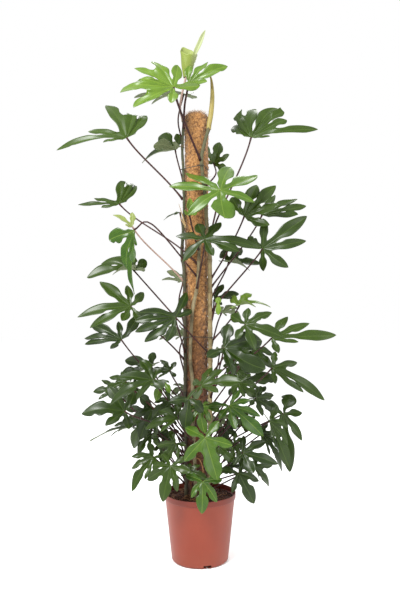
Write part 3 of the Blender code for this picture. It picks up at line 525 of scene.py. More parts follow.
# Loose fibres stand off the mat all the way up, and the cut top is a brush of them.
dice = random.Random(11)
fibre_models = []
for _ in range(4):
    fibre = start_piece("fibre")
    bends = [(0.0, 0.0, 0.0)]
    for step in range(1, 5):
        bends.append((step / 4, dice.uniform(-0.10, 0.10), 0.22 * (step / 4) ** 2
                      + dice.uniform(-0.05, 0.05)))
    add_bar(fibre, smooth_route(bends, 0.2), [0.018] * 6, 3)
    close_piece(fibre, weld=0.0001)
    fibre_models.append(fibre)
fibre_groups = [[] for _ in fibre_models]
fibre_count = 2600
for _ in range(fibre_count):
    bearing = dice.uniform(0, math.tau)
    top_brush = dice.random() < 0.20
    height = pole_top - 0.012 if top_brush else dice.uniform(0.215, pole_top - 0.006)
    radius = mat_radius(bearing, height) - 0.0006
    if top_brush:
        radius *= dice.uniform(0.3, 1.0)
        height = pole_top - 0.003 - 0.010 * (radius / pole_radius) ** 4
    out = Vector((math.cos(bearing), math.sin(bearing), 0.0))
    if top_brush:
        out = (out * dice.uniform(0.1, 0.9) + Vector((0.0, 0.0, 1.0))).normalized()
    along = out.orthogonal().normalized()
    along = Matrix.Rotation(dice.uniform(0, math.tau), 3, out) @ along
    if dice.random() < 0.5 or top_brush:
        along = (along + out * dice.uniform(0.1, 0.9)).normalized()
    up = (out - out.dot(along) * along).normalized()
    length = dice.uniform(0.006, 0.012) if top_brush else dice.uniform(0.006, 0.018)
    turn = Matrix((along, up.cross(along), up)).transposed().to_4x4()
    spot = Vector((pole_x + radius * math.cos(bearing), radius * math.sin(bearing), height))
    fibre_groups[dice.randrange(4)].append(
        Matrix.Translation(spot) @ turn @ Matrix.Scale(length, 4))
fuzz = [scatter(f"coir_fibres_{i + 1}", model.data, places)
        for i, (model, places) in enumerate(zip(fibre_models, fibre_groups))]
for model in fibre_models:
    bpy.data.objects.remove(model, do_unlink=True)

# A single coconut fibre is shinier than the mat and redder where the mat is damp; its paler colours
# are a painted highlight, for loose fibres that catch the light.
fibre_with_painted_highlight, shader = new_material("loose_coir_fibre", roughness=0.8, specular_ior_level=0.3)
place = add_node(fibre_with_painted_highlight, "TexCoord", {})
mottle = add_node(fibre_with_painted_highlight, "TexNoise", {"Scale": 90.0, "Detail": 1.0}, {"Vector": place})
height = add_node(fibre_with_painted_highlight, "SeparateXYZ", {}, {0: place})
wicking = add_node(fibre_with_painted_highlight, "MapRange", {"From Min": 0.90, "From Max": 0.50},
                   {"Value": height.outputs["Z"]})
dry = add_node(fibre_with_painted_highlight, "Mix", {"data_type": "RGBA", 6: "#8A6238", 7: "#D9AC78"}, {0: mottle})
damp = add_node(fibre_with_painted_highlight, "Mix", {"data_type": "RGBA", 7: "#7A4728"}, {0: wicking, 6: dry})
connect(fibre_with_painted_highlight, damp, shader.inputs["Base Color"])
for tuft in fuzz:
    tuft.data.materials.append(fibre_with_painted_highlight)
    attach(tuft, "root")


# ---- Climbing stems --------------------------------------------------------------------
# Three bare stems with corky bark, ringed at each node where an old leaf has dropped.
# They stand in the mix and climb the front and sides of the pole.

stem_foot = 0.100
stem_radii = {"left": 0.0065, "front": 0.0065, "right": 0.0085}
stem_routes = {
    "left": [(-0.046, -0.036, stem_foot), (-0.046, -0.036, 0.30), (-0.049, -0.034, 0.50),
             (-0.049, -0.034, 0.70), (-0.052, -0.030, 0.95), (-0.060, -0.018, 1.02),
             (-0.053, -0.029, 1.15), (-0.055, -0.026, 1.29), (-0.059, -0.019, 1.37),
             (-0.053, -0.029, 1.472)],
    "front": [(-0.010, -0.054, stem_foot), (-0.015, -0.053, 0.28), (-0.022, -0.052, 0.45),
              (-0.025, -0.052, 0.60), (-0.032, -0.050, 0.67), (-0.029, -0.050, 0.77),
              (-0.022, -0.051, 0.85), (-0.008, -0.053, 0.92), (-0.002, -0.054, 1.035),
              (0.008, -0.058, 1.075)],
    "right": [(0.031, -0.031, stem_foot), (0.032, -0.030, 0.30), (0.034, -0.028, 0.60),
              (0.033, -0.029, 0.90), (0.031, -0.031, 1.04), (0.022, -0.041, 1.12),
              (0.018, -0.044, 1.20), (0.005, -0.050, 1.32), (0.014, -0.046, 1.38),
              (0.029, -0.034, 1.435)],
}
bark_colours = {"left": ("#26241A", "#48442E"), "front": ("#4A422C", "#84785A"),
                "right": ("#54482E", "#94845E")}
stem_lines = {name: smooth_route(points, 0.06) for name, points in stem_routes.items()}
stem_node_spacing = 0.047
for name, points in stem_routes.items():
    dice = random.Random(f"stem {name}")
    line = smooth_route(points, 0.005)
    joints_of_stem = [line[0].z + stem_node_spacing * (i + dice.uniform(-0.25, 0.25))
                      for i in range(1, 30)]
    radii = []
    for point in line:
        near = min(abs(point.z - joint) for joint in joints_of_stem)
        swelling = 0.16 * math.exp(-(near / 0.005) ** 2)
        lump = 0.10 * noise.noise(point * 60)
        slim = 1.0 - 0.22 * min(1.0, max(0.0, (point.z - 0.95) / 0.25))
        radii.append(stem_radii[name] * (0.88 + swelling + lump) * slim)
    stem = start_piece(f"climbing_stem_{name}")
    add_bar(stem, line, radii, 14)
    # Corky bark: matt and furrowed lengthwise, blotched in two shades, with brown leaf scars;
    # it turns greener from 0.95 m up, where the stem is young.
    dark, light = bark_colours[name]
    bark, shader = new_material(f"corky_bark_{name}", roughness=0.68, specular_ior_level=0.35)
    place = add_node(bark, "TexCoord", {})
    stretch = add_node(bark, "Mapping", {"Scale": (1.0, 1.0, 0.25)}, {"Vector": place})
    ridges = add_node(bark, "TexNoise", {"Scale": 260.0, "Detail": 5.0, "Roughness": 0.65},
                      {"Vector": stretch})
    patches = add_node(bark, "TexNoise", {"Scale": 26.0, "Detail": 3.0}, {"Vector": place})
    blotches = add_node(bark, "Math", {"operation": "MULTIPLY_ADD", 1: 0.6, 2: -0.05}, {0: ridges})
    mixed = add_node(bark, "Math", {"operation": "ADD", "use_clamp": True},
                     {0: blotches, 1: patches})
    contrast = add_node(bark, "MapRange", {"From Min": 0.55, "From Max": 1.0}, {"Value": mixed})
    bark_shade = add_node(bark, "Mix", {"data_type": "RGBA", 6: dark, 7: light}, {0: contrast})
    high = add_node(bark, "SeparateXYZ", {}, {0: place})
    green_share = add_node(bark, "MapRange", {"From Min": 0.95, "From Max": 1.20, "To Max": 0.85},
                           {"Value": high.outputs["Z"]})
    young_bark = add_node(bark, "Mix", {"data_type": "RGBA", 7: "#3C4029"},
                          {0: green_share, 6: bark_shade})
    ringed = add_node(bark, "Attribute", {"attribute_name": "node_ring"})
    ring_shade = add_node(bark, "Mix", {"data_type": "RGBA", 7: "#5A4228"},
                          {0: ringed.outputs["Fac"], 6: young_bark})
    connect(bark, ring_shade, shader.inputs["Base Color"])
    furrows = add_node(bark, "Bump", {"Strength": 0.5, "Distance": 0.0006}, {"Height": ridges})
    connect(bark, furrows, shader.inputs["Normal"])
    close_piece(stem, bark)
    rings_on_stem = stem.data.attributes.new("node_ring", "FLOAT", "POINT")
    for vert, ring in zip(stem.data.vertices, rings_on_stem.data):
        near = min(abs(vert.co.z - joint - 0.003) for joint in joints_of_stem)
        ring.value = 0.75 * math.exp(-(near / 0.0016) ** 2)
    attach(stem, "root")
    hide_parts(f"stem_{name}")


def point_at_height(line, height):
    """Where a rising line passes a height."""
    for low, high in zip(line, line[1:]):
        if low.z <= height <= high.z:
            return low.lerp(high, (height - low.z) / (high.z - low.z))
    return line[-1].copy() if height > line[-1].z else line[0].copy()


# ---- Ties ------------------------------------------------------------------------------
# Black plastic-coated wire pulled taut round the pole and the stems, with its two ends
# twisted together at the back.

tie_radius = 0.00125


def hull_outline(circles, clearance, steps=12):
    """The taut loop round some circles (x, y, radius), as a convex outline."""
    points = []
    for x, y, radius in circles:
        for i in range(steps):
            angle = 2 * math.pi * i / steps
            reach = (radius + clearance) / math.cos(math.pi / steps)
            points.append((x + reach * math.cos(angle), y + reach * math.sin(angle)))
    points.sort()
    halves = []
    for ordered in (points, points[::-1]):
        chain = []
        for p in ordered:
            while len(chain) > 1 and ((chain[-1][0] - chain[-2][0]) * (p[1] - chain[-2][1])
                                      <= (chain[-1][1] - chain[-2][1]) * (p[0] - chain[-2][0])):
                chain.pop()
            chain.append(p)
        halves.append(chain[:-1])
    return halves[0] + halves[1]


def flecked(name, dark, light, scale, detail, relief=0.0, **sockets):
    """A material flecked in two shades, with a relief in metres where its skin is uneven."""
    material, shader = new_material(name, **sockets)
    place = add_node(material, "TexCoord", {})
    flecks = add_node(material, "TexNoise", {"Scale": scale, "Detail": detail}, {"Vector": place})
    shades = add_node(material, "Mix", {"data_type": "RGBA", 6: dark, 7: light}, {0: flecks})
    connect(material, shades, shader.inputs["Base Color"])
    if relief:
        uneven = add_node(material, "Bump", {"Strength": 0.4, "Distance": relief},
                          {"Height": flecks})
        connect(material, uneven, shader.inputs["Normal"])
    return material


# PVC skin of garden wire: near black and satin, with grey-brown scuffs.
coated_wire = flecked("plastic_coated_wire", "#12100C", "#2E2A22", 300.0, 2.0,
                      roughness=0.42, ior=1.5)
for name in ("tie_upper", "tie_middle", "tie_lower"):
    height = (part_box(name)[0].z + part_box(name)[1].z) / 2
    circles = [(pole_x, 0.0, pole_radius)]
    for stem_name, line in stem_lines.items():
        if line[-1].z > height:
            centre = point_at_height(line, height)
            circles.append((centre.x, centre.y, stem_radii[stem_name]))
    outline = hull_outline(circles, tie_radius)
    loop = [Vector((x, y, height + 0.004 * math.sin(3 * math.atan2(y, x)))) for x, y in outline]
    back = max(range(len(loop)), key=lambda i: loop[i].y)
    loop = loop[back:] + loop[:back + 1]
    tie = start_piece(f"{name}_wire")
    rounded = smooth_route(loop, 0.006)
    add_bar(tie, rounded, [tie_radius] * len(rounded), 8)
    knot = loop[0]
    for turn in (0.0, math.pi):
        twist = [knot + Vector((0.0016 * math.cos(turn + step * 1.1), 0.0015 * step,
                                0.0016 * math.sin(turn + step * 1.1) + 0.0006 * step))
                 for step in range(13)]
        add_bar(tie, twist, [tie_radius] * len(twist), 8)
    close_piece(tie, coated_wire)
    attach(tie, "root")
    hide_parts(name)


# ---- Roots and dry sheath ----------------------------------------------------------------
# Aerial roots are wiry and tan; the longest hangs into the mix, others cling to the pole.
# The ochre sheath is the dry wrapper of an old leaf, still standing at the right stem's top.

# Dead outer skin of a root: matt, and flaking in brown and tan.
root_skin = flecked("dry_aerial_root", "#5A3A22", "#9C7048", 240.0, 4.0, relief=0.0004,
                    roughness=0.8, specular_ior_level=0.3)
root_route = smooth_route([(-0.014, -0.056, 0.350), (0.000, -0.066, 0.345), (0.010, -0.080, 0.315),
                           (0.004, -0.084, 0.275), (0.012, -0.080, 0.226),
                           (0.016, -0.078, 0.212)], 0.004)
aerial_root = start_piece("hanging_root")
add_bar(aerial_root, root_route, [0.0019 + 0.0004 * noise.noise(p * 90) for p in root_route], 8)
close_piece(aerial_root, root_skin)
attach(aerial_root, "root")
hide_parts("aerial_root")

dice = random.Random(3)
rootlets = start_piece("surface_roots")
surface_root_count = 34
clinging_root_count = 26
for i in range(surface_root_count):
    bearing = dice.uniform(0, math.tau)
    reach = dice.uniform(0.030, 0.085)
    heading = dice.uniform(0, math.tau)
    points = []
    for step in range(7):
        heading += dice.uniform(-0.7, 0.7)
        x = pole_x + reach * math.cos(bearing) + step * 0.009 * math.cos(heading)
        y = reach * math.sin(bearing) + step * 0.009 * math.sin(heading)
        if math.hypot(x, y) > soil_radius - 0.004:
            break
        points.append((x, y, soil_height(x, y) + dice.uniform(-0.0005, 0.0035)))
    if len(points) > 3:
        route = smooth_route(points, 0.005)
        thick = dice.uniform(0.0005, 0.0011)
        add_bar(rootlets, route, [thick * (1 - 0.6 * i / len(route)) for i in range(len(route))], 5)
for i in range(clinging_root_count):
    name = dice.choice(("left", "front", "right"))
    start = point_at_height(stem_lines[name], dice.uniform(0.27, 1.0))
    bearing = math.atan2(start.y, start.x - pole_x)
    points = [start]
    for step in range(1, 6):
        bearing += dice.uniform(0.02, 0.20) * (1 if i % 2 else -1)
        height = start.z - step * dice.uniform(0.002, 0.010)
        radius = mat_radius(bearing % math.tau, height) + 0.0008
        points.append(Vector((pole_x + radius * math.cos(bearing), radius * math.sin(bearing),
                              height)))
    route = smooth_route(points, 0.004)
    add_bar(rootlets, route, [0.0011 * (1 - 0.6 * i / len(route)) for i in range(len(route))], 5)
close_piece(rootlets, root_skin)
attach(rootlets, "root")

sheath_route = smooth_route([(0.0290, -0.0340, 1.4300), (0.0300, -0.0330, 1.4450),
                             (0.037, -0.029, 1.490), (0.041, -0.026, 1.545),
                             (0.038, -0.025, 1.595), (0.029, -0.025, 1.625)], 0.004)
sheath_columns = 14


def sheath_spot(column, row):
    """A wrapper that is open along one side, wide in the middle and pointed at the top."""
    share = row / (len(sheath_route) - 1)
    width = 0.0082 * math.sin(math.pi * min(1.0, 0.34 + 0.66 * share)) ** 0.8 + 0.0006
    turn = math.radians(60 - 300 * column / sheath_columns)
    centre = sheath_route[row]
    curl = 1.0 - 0.35 * abs(column / sheath_columns - 0.5)
    point = centre + Vector((width * curl * math.cos(turn), width * 0.7 * math.sin(turn), 0.0))
    return point, (column / sheath_columns, share)


sheath = start_piece("dry_leaf_wrapper")
add_patch(sheath, sheath_columns, len(sheath_route) - 1, sheath_spot)
# Dead leaf tissue: papery, ochre, with fine ribs along it and brown blotches.
papery, shader = new_material("papery_dry_sheath", roughness=0.55, specular_ior_level=0.4)
place = add_node(papery, "TexCoord", {})
veining = add_node(papery, "Mapping", {"Scale": (1.0, 1.0, 0.06)}, {"Vector": place})
streaks = add_node(papery, "TexNoise", {"Scale": 700.0, "Detail": 3.0}, {"Vector": veining})
blotch = add_node(papery, "TexNoise", {"Scale": 30.0, "Detail": 3.0}, {"Vector": place})
ochre = add_node(papery, "Mix", {"data_type": "RGBA", 6: "#6E622E", 7: "#988A48"}, {0: streaks})
browned = add_node(papery, "MapRange", {"From Min": 0.55, "From Max": 0.75, "To Max": 0.6},
                   {"Value": blotch})
aged = add_node(papery, "Mix", {"data_type": "RGBA", 7: "#64492A"}, {0: browned, 6: ochre})
connect(papery, aged, shader.inputs["Base Color"])
ribs = add_node(papery, "Bump", {"Strength": 0.4, "Distance": 0.0004}, {"Height": streaks})
connect(papery, ribs, shader.inputs["Normal"])
close_piece(sheath, papery)
wall = sheath.modifiers.new("paper", "SOLIDIFY")
wall.thickness = 0.0006
wall.offset = 0.0
bpy.ops.object.modifier_apply(modifier="paper")
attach(sheath, "root")
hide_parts("leaf_sheath")

stipules = start_piece("withered_stipules")     # two dry bracts beside the left stem
for route in ([(-0.047, -0.044, 1.104), (-0.055, -0.046, 1.135), (-0.070, -0.044, 1.184)],
              [(-0.046, -0.045, 1.108), (-0.060, -0.048, 1.128), (-0.066, -0.050, 1.142)]):
    spine = smooth_route(route, 0.004)
    add_bar(stipules, spine, [0.0034 * (1 - 0.9 * i / len(spine)) for i in range(len(spine))], 8)
# Withered bracts are straw: pale, matt and finely flecked.
straw = flecked("dry_straw_bract", "#8A7048", "#A48C66", 300.0, 2.0,
                roughness=0.7, specular_ior_level=0.3)
close_piece(stipules, straw)
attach(stipules, "root")


# ---- Leaves ------------------------------------------------------------------------------
# Each leaf is a stiff glossy blade cut into waisted lobes round the junction, on a long wiry
# stalk that grows from a stem.  A lobe is a grid laid along its midrib; the grids are welded
# where lobes share the web, and the sheet is then given its thickness and underside.

leaf_forms = {
    "seven": (0.40, ((42, 0.76, 0.36, 0.42), (84, 0.68, 0.38, 0.38), (132, 0.52, 0.42, 0.30))),
    "fingered": (0.36, ((34, 0.82, 0.30, 0.42), (68, 0.74, 0.32, 0.40), (108, 0.56, 0.38, 0.32))),
    "five": (0.44, ((48, 0.82, 0.38, 0.42), (108, 0.64, 0.46, 0.30))),
    "parasol": (0.44, ((56, 0.78, 0.34, 0.42), (128, 0.60, 0.46, 0.20))),
    "slender": (0.28, ((26, 0.64, 0.30, 0.42), (62, 0.58, 0.34, 0.40), (116, 0.46, 0.42, 0.30))),
    "three": (0.46, ((60, 0.74, 0.42, 0.26),)),
    "single": (0.36, ((24, 0.34, 0.40, 0.40),)),
    "hanging": (0.30, ((24, 0.60, 0.40, 0.34), (62, 0.52, 0.46, 0.32))),
    "spear": (0.13, ()),
    "leaf_01": (0.34, ((14, 0.70, 0.26, 0.74, -1), (30, 0.84, 0.24, 0.42, -1),
                       (62, 0.72, 0.32, 0.66, -1), (106, 0.62, 0.38, 0.26, -1),
                       (166, 0.62, 0.32, 0.20, -1), (32, 0.90, 0.28, 0.60, 1),
                       (84, 0.40, 0.50, 0.24, 1))),
    "leaf_02": (0.30, ((14, 0.80, 0.28, 0.46, -1), (44, 0.56, 0.36, 0.34, -1),
                       (104, 0.34, 0.50, 0.24, -1), (26, 0.70, 0.36, 0.36, 1),
                       (70, 0.52, 0.44, 0.26, 1))),
    "leaf_04": (0.14, ((17, 0.56, 0.24, 0.42, -1), (70, 0.80, 0.26, 0.22, -1),
                       (103, 0.56, 0.36, 0.64, -1), (122, 0.64, 0.32, 0.70, -1),
                       (8, 0.34, 0.20, 0.28, 1))),
    "leaf_06": (0.14, ((25, 0.62, 0.24, 0.50, 1), (41, 0.70, 0.32, 0.52, 1),
                       (57, 0.70, 0.34, 0.82, 1), (86, 0.70, 0.30, 0.16, 1),
                       (108, 0.58, 0.38, 0.72, 1), (129, 0.50, 0.42, 0.74, 1),
                       (8, 0.28, 0.24, 0.26, -1))),
    "leaf_08": (0.78, ((56, 1.20, 0.32, 0.26, -1), (108, 1.56, 0.26, 0.20, -1),
                       (136, 1.44, 0.34, 0.22, -1), (76, 1.08, 0.30, 0.24, 1),
                       (128, 1.50, 0.40, 0.20, 1), (168, 1.56, 0.32, 0.22, 1))),
    "leaf_09": (0.17, ((14, 0.62, 0.26, 0.38, -1), (94, 0.80, 0.34, 0.18, -1),
                       (114, 0.96, 0.26, 0.64, -1), (128, 0.84, 0.24, 0.76, -1),
                       (12, 0.46, 0.26, 0.30, 1))),
    "leaf_13": (0.34, ((28, 0.82, 0.34, 0.40, 1), (78, 0.56, 0.46, 0.26, 1),
                       (30, 0.80, 0.36, 0.38, -1), (74, 0.62, 0.40, 0.26, -1))),
    "leaf_14": (0.22, ((22, 0.86, 0.26, 0.42, 1), (54, 0.62, 0.38, 0.32, 1),
                       (112, 0.42, 0.50, 0.20, 1), (12, 0.80, 0.24, 0.46, -1))),
    "leaf_15": (0.24, ((20, 0.66, 0.34, 0.34, -1), (62, 0.46, 0.36, 0.26, -1),
                       (136, 0.58, 0.40, 0.18, -1), (66, 0.50, 0.42, 0.22, 1),
                       (118, 0.50, 0.44, 0.20, 1), (160, 0.74, 0.34, 0.18, 1))),
    "leaf_16": (0.26, ((50, 0.58, 0.34, 0.22, 1), (106, 0.40, 0.40, 0.22, 1),
                       (28, 0.82, 0.26, 0.30, -1), (78, 0.60, 0.34, 0.26, -1),
                       (126, 0.44, 0.38, 0.20, -1))),
    "leaf_19": (0.25, ((49, 0.84, 0.30, 0.28, -1), (92, 0.50, 0.40, 0.26, -1),
                       (136, 0.46, 0.44, 0.20, -1), (24, 0.86, 0.26, 0.40, 1),
                       (64, 0.46, 0.38, 0.28, 1), (116, 0.42, 0.42, 0.20, 1))),
    "leaf_20": (0.26, ((26, 0.98, 0.26, 0.40, -1), (70, 0.60, 0.34, 0.28, -1),
                       (114, 0.98, 0.32, 0.18, -1), (12, 0.96, 0.22, 0.46, 1),
                       (62, 0.44, 0.42, 0.24, 1))),
    "leaf_21": (0.26, ((18, 0.96, 0.26, 0.46, -1), (122, 0.90, 0.26, 0.16, -1),
                       (156, 0.68, 0.32, 0.26, -1), (18, 1.04, 0.24, 0.48, 1),
                       (38, 0.96, 0.30, 0.40, 1), (70, 0.66, 0.36, 0.28, 1))),
    "leaf_34": (0.34, ((50, 0.80, 0.36, 0.32, 1), (104, 0.54, 0.40, 0.26, 1),
                       (156, 0.58, 0.42, 0.18, 1), (56, 0.82, 0.36, 0.32, -1),
                       (98, 0.54, 0.40, 0.26, -1))),
    "leaf_36": (0.18, ((20, 0.66, 0.22, 0.32, 1), (57, 0.46, 0.32, 0.26, 1),
                       (14, 0.42, 0.24, 0.28, -1), (76, 0.30, 0.40, 0.22, -1))),
    "leaf_40": (0.20, ((42, 0.46, 0.28, 0.32, 1), (100, 0.32, 0.38, 0.24, 1),
                       (16, 0.62, 0.26, 0.34, -1), (64, 0.30, 0.40, 0.26, -1))),
    "leaf_41": (0.38, ((26, 0.78, 0.30, 0.42, 1), (62, 0.58, 0.34, 0.32, 1),
                       (98, 0.50, 0.36, 0.26, 1), (44, 0.62, 0.36, 0.34, -1),
                       (90, 0.44, 0.42, 0.26, -1), (146, 0.62, 0.38, 0.16, -1))),
    "leaf_42": (0.24, ((34, 0.60, 0.30, 0.26, 1), (90, 0.34, 0.44, 0.20, 1),
                       (150, 0.40, 0.70, 0.14, 1), (32, 0.46, 0.34, 0.26, -1),
                       (120, 0.30, 0.50, 0.20, -1))),
    "leaf_44": (0.34, ((48, 0.78, 0.34, 0.32, 1), (104, 0.56, 0.38, 0.22, 1),
                       (54, 0.72, 0.48, 0.28, -1), (112, 0.48, 0.42, 0.20, -1))),
}
Leaf = namedtuple("Leaf", "name stem height at tip face form fold droop via raised",
                  defaults=("seven", 12, 0.18, None, 15))
leaves = [
    # crown
    Leaf("new_leaf", "left", 1.460, (-0.044, 0.020, 1.640), (0.066, 0.00, 0.142),
         (-0.2, -0.9, 0.3), "spear", 40, 0.05, (-0.066, -0.010, 1.520)),
    Leaf("leaf_01", "right", 1.325, (-0.085, -0.118, 1.544), (-0.158, -0.03, 0.000),
         (0.05, -0.90, 0.42), "leaf_01", 8, 0.14, None, 6),
    Leaf("leaf_02", "left", 1.435, (-0.036, -0.045, 1.582), (0.118, -0.01, 0.062),
         (-0.1, -0.84, 0.50), "leaf_02", 14, 0.14, (-0.050, -0.047, 1.510), 8),
    Leaf("leaf_03", "left", 1.395, (-0.056, 0.105, 1.594), (-0.172, 0.00, -0.010),
         (0.0, -0.20, 0.97), "five", 4, 0.14, (-0.074, 0.020, 1.480), 0),
    Leaf("leaf_04", "left", 1.200, (-0.246, 0.000, 1.412), (-0.232, -0.02, -0.008),
         (0.0, -0.88, 0.46), "leaf_04", 6, 0.10, None, 0),
    Leaf("leaf_05", "left", 1.255, (-0.086, 0.080, 1.390), (-0.112, 0.03, -0.010),
         (0.0, -0.55, 0.80), "five", 18, 0.26, None, 50),
    Leaf("leaf_06", "right", 1.070, (0.176, 0.055, 1.427), (0.222, -0.02, 0.030),
         (0.0, -0.88, 0.46), "leaf_06", 6, 0.16, None, 0),
    Leaf("leaf_07", "right", 1.240, (0.048, 0.080, 1.342), (0.024, 0.02, 0.084),
         (0.05, -0.90, 0.20), "five", 20, 0.10, (0.052, -0.020, 1.285)),
    # upper half
    Leaf("leaf_08", "right", 1.060, (0.064, -0.145, 1.211), (0.004, -0.060, -0.086),
         (0.05, -0.84, 0.54), "leaf_08", 0, 0.08, None, 0),
    Leaf("leaf_09", "front", 0.985, (-0.277, 0.050, 1.197), (-0.137, -0.02, -0.002),
         (0.0, -0.86, 0.50), "leaf_09", 6, 0.10, None, 0),
    Leaf("leaf_10", "front", 0.945, (-0.215, -0.070, 1.095), (-0.020, -0.01, -0.205),
         (-0.75, -0.65, 0.10), "hanging", 26, 0.12, (-0.155, -0.078, 1.112)),
    Leaf("leaf_11", "left", 0.930, (-0.225, -0.020, 1.112), (-0.060, -0.01, 0.040),
         (0.3, -0.70, 0.60), "three", 26, 0.10),
    Leaf("leaf_12", "right", 0.690, (-0.228, 0.040, 0.970), (-0.143, -0.02, -0.022),
         (0.0, -0.45, 0.85), "seven", 26, 0.40, (-0.020, -0.082, 0.745), 30),
    Leaf("leaf_13", "right", 0.940, (0.146, -0.040, 1.143), (0.104, 0.00, 0.106),
         (-0.2, -0.86, 0.30), "leaf_13", 10, 0.08, None, 0),
    Leaf("leaf_14", "right", 0.910, (0.214, 0.060, 1.160), (0.148, -0.02, 0.026),
         (0.0, -0.84, 0.50), "leaf_14", 8, 0.14, None, 0),
    Leaf("leaf_15", "front", 0.905, (0.016, -0.130, 1.060), (0.168, -0.02, -0.020),
         (0.0, -0.80, 0.58), "leaf_15", 6, 0.22, None, 0),
    Leaf("leaf_16", "right", 0.830, (0.205, -0.060, 1.035), (0.140, -0.02, 0.102),
         (0.1, -0.88, 0.36), "leaf_16", 8, 0.12, None, 0),
    Leaf("leaf_17", "right", 0.870, (0.100, 0.075, 1.000), (0.105, -0.01, -0.011),
         (0.0, -0.60, 0.75), "five", 18, 0.24, None, 40),
    Leaf("leaf_18", "front", 1.030, (-0.034, -0.100, 1.140), (0.002, -0.02, 0.050),
         (0.2, -0.90, 0.20), "three", 25, 0.10),
    # left side, from the middle down
    Leaf("leaf_19", "left", 0.670, (-0.225, -0.080, 0.847), (-0.162, -0.03, -0.016),
         (0.0, -0.82, 0.54), "leaf_19", 10, 0.18, None, 6),
    Leaf("leaf_20", "left", 0.510, (-0.272, 0.062, 0.730), (-0.126, 0.01, 0.014),
         (-0.1, -0.80, 0.55), "leaf_20", 10, 0.18, None, 6),
    Leaf("leaf_21", "left", 0.695, (-0.078, -0.115, 0.812), (-0.122, -0.03, -0.006),
         (0.0, -0.94, 0.34), "leaf_21", 6, 0.20, None, 0),
    Leaf("leaf_22", "left", 0.470, (-0.150, -0.105, 0.612), (-0.120, -0.06, -0.049),
         (-0.1, -0.62, 0.70), "seven", 14, 0.30, None, 24),
    Leaf("leaf_23", "left", 0.450, (-0.172, 0.120, 0.632), (-0.115, 0.00, -0.046),
         (0.0, -0.50, 0.85), "five", 20, 0.30, None, 40),
    Leaf("leaf_24", "left", 0.415, (-0.246, -0.070, 0.505), (-0.124, -0.02, 0.020),
         (-0.2, -0.72, 0.60), "five", 12, 0.20, None, 16),
    Leaf("leaf_25", "left", 0.340, (-0.235, 0.110, 0.420), (-0.147, 0.02, -0.042),
         (0.0, -0.20, 0.95), "slender", 12, 0.30),
    Leaf("leaf_26", "left", 0.385, (-0.160, 0.015, 0.500), (-0.046, -0.01, -0.098),
         (-0.1, -0.86, 0.30), "five", 16, 0.24, None, 30),
    Leaf("leaf_27", "front", 0.400, (-0.075, -0.110, 0.490), (-0.089, -0.02, -0.019),
         (0.0, -0.64, 0.75), "five", 14, 0.30, None, 30),
    Leaf("leaf_28", "left", 0.290, (-0.093, -0.130, 0.342), (-0.025, -0.03, -0.099),
         (0.0, -0.85, 0.50), "seven", 8, 0.22, None, 20),
    Leaf("leaf_29", "left", 0.260, (-0.154, -0.050, 0.352), (-0.076, -0.02, -0.095),
         (-0.3, -0.80, 0.40), "slender", 18, 0.22, None, 20),
    # front
    Leaf("leaf_30", "front", 0.550, (0.004, -0.180, 0.604), (0.117, -0.04, 0.017),
         (0.0, -0.50, 0.86), "seven", 8, 0.26, None, 10),
    Leaf("leaf_31", "front", 0.430, (0.004, -0.120, 0.530), (0.000, -0.03, -0.078),
         (0.0, -0.80, 0.55), "seven", 10, 0.34, None, -14),
    Leaf("leaf_32", "front", 0.360, (0.016, -0.205, 0.448), (0.036, -0.02, -0.122),
         (0.05, -0.95, 0.30), "parasol", 4, 0.18, None, 6),
    Leaf("leaf_33", "front", 0.250, (0.009, -0.140, 0.297), (-0.002, -0.03, -0.086),
         (0.0, -0.85, 0.50), "five", 6, 0.24),
    # right side, from the middle down
    Leaf("leaf_34", "right", 0.620, (0.144, -0.125, 0.790), (0.112, -0.03, -0.034),
         (0.0, -0.82, 0.54), "leaf_34", 8, 0.20, None, 6),
    Leaf("leaf_35", "right", 0.730, (0.134, 0.020, 0.850), (0.096, 0.00, 0.007),
         (0.0, -0.40, 0.90), "five", 20, 0.30, None, 30),
    Leaf("leaf_36", "right", 0.580, (0.240, -0.010, 0.740), (0.215, 0.00, 0.006),
         (0.0, -0.84, 0.50), "leaf_36", 10, 0.14, None, 6),
    Leaf("leaf_37", "right", 0.545, (0.076, -0.130, 0.716), (0.114, -0.03, -0.081),
         (0.0, -0.80, 0.60), "five", 10, 0.26, None, 20),
    Leaf("leaf_38", "right", 0.515, (0.182, 0.070, 0.698), (0.062, -0.01, -0.065),
         (0.2, -0.70, 0.60), "five", 10, 0.26),
    Leaf("leaf_39", "right", 0.480, (0.136, 0.105, 0.574), (0.129, 0.00, 0.021),
         (0.0, -0.66, 0.70), "seven", 14, 0.22, None, 20),
    Leaf("leaf_40", "right", 0.450, (0.246, 0.030, 0.636), (0.182, 0.00, -0.098),
         (0.1, -0.84, 0.50), "leaf_40", 12, 0.20, None, 6),
    Leaf("leaf_41", "right", 0.420, (0.094, -0.125, 0.532), (0.100, -0.03, -0.080),
         (0.1, -0.84, 0.50), "leaf_41", 8, 0.22, None, 6),
    Leaf("leaf_42", "right", 0.350, (0.284, 0.030, 0.480), (0.012, -0.04, -0.186),
         (0.3, -0.85, 0.10), "leaf_42", 12, 0.14, None, 6),
    Leaf("leaf_43", "right", 0.320, (0.228, -0.060, 0.472), (0.053, -0.01, -0.147),
         (0.5, -0.75, 0.30), "slender", 24, 0.24, None, 30),
    Leaf("leaf_44", "right", 0.285, (0.136, -0.120, 0.382), (0.104, -0.02, -0.026),
         (0.1, -0.82, 0.50), "leaf_44", 8, 0.20, None, 6),
    Leaf("leaf_45", "right", 0.300, (0.215, 0.070, 0.405), (0.074, 0.00, -0.121),
         (0.4, -0.70, 0.40), "slender", 22, 0.30, None, 30),
    Leaf("leaf_46", "right", 0.258, (0.124, -0.100, 0.312), (0.045, -0.02, -0.087),
         (0.2, -0.85, 0.50), "parasol", 8, 0.24),
    Leaf("leaf_47", "right", 0.240, (0.180, -0.020, 0.312), (0.053, 0.00, -0.060),
         (0.3, -0.70, 0.60), "five", 14, 0.24, None, 40),
]
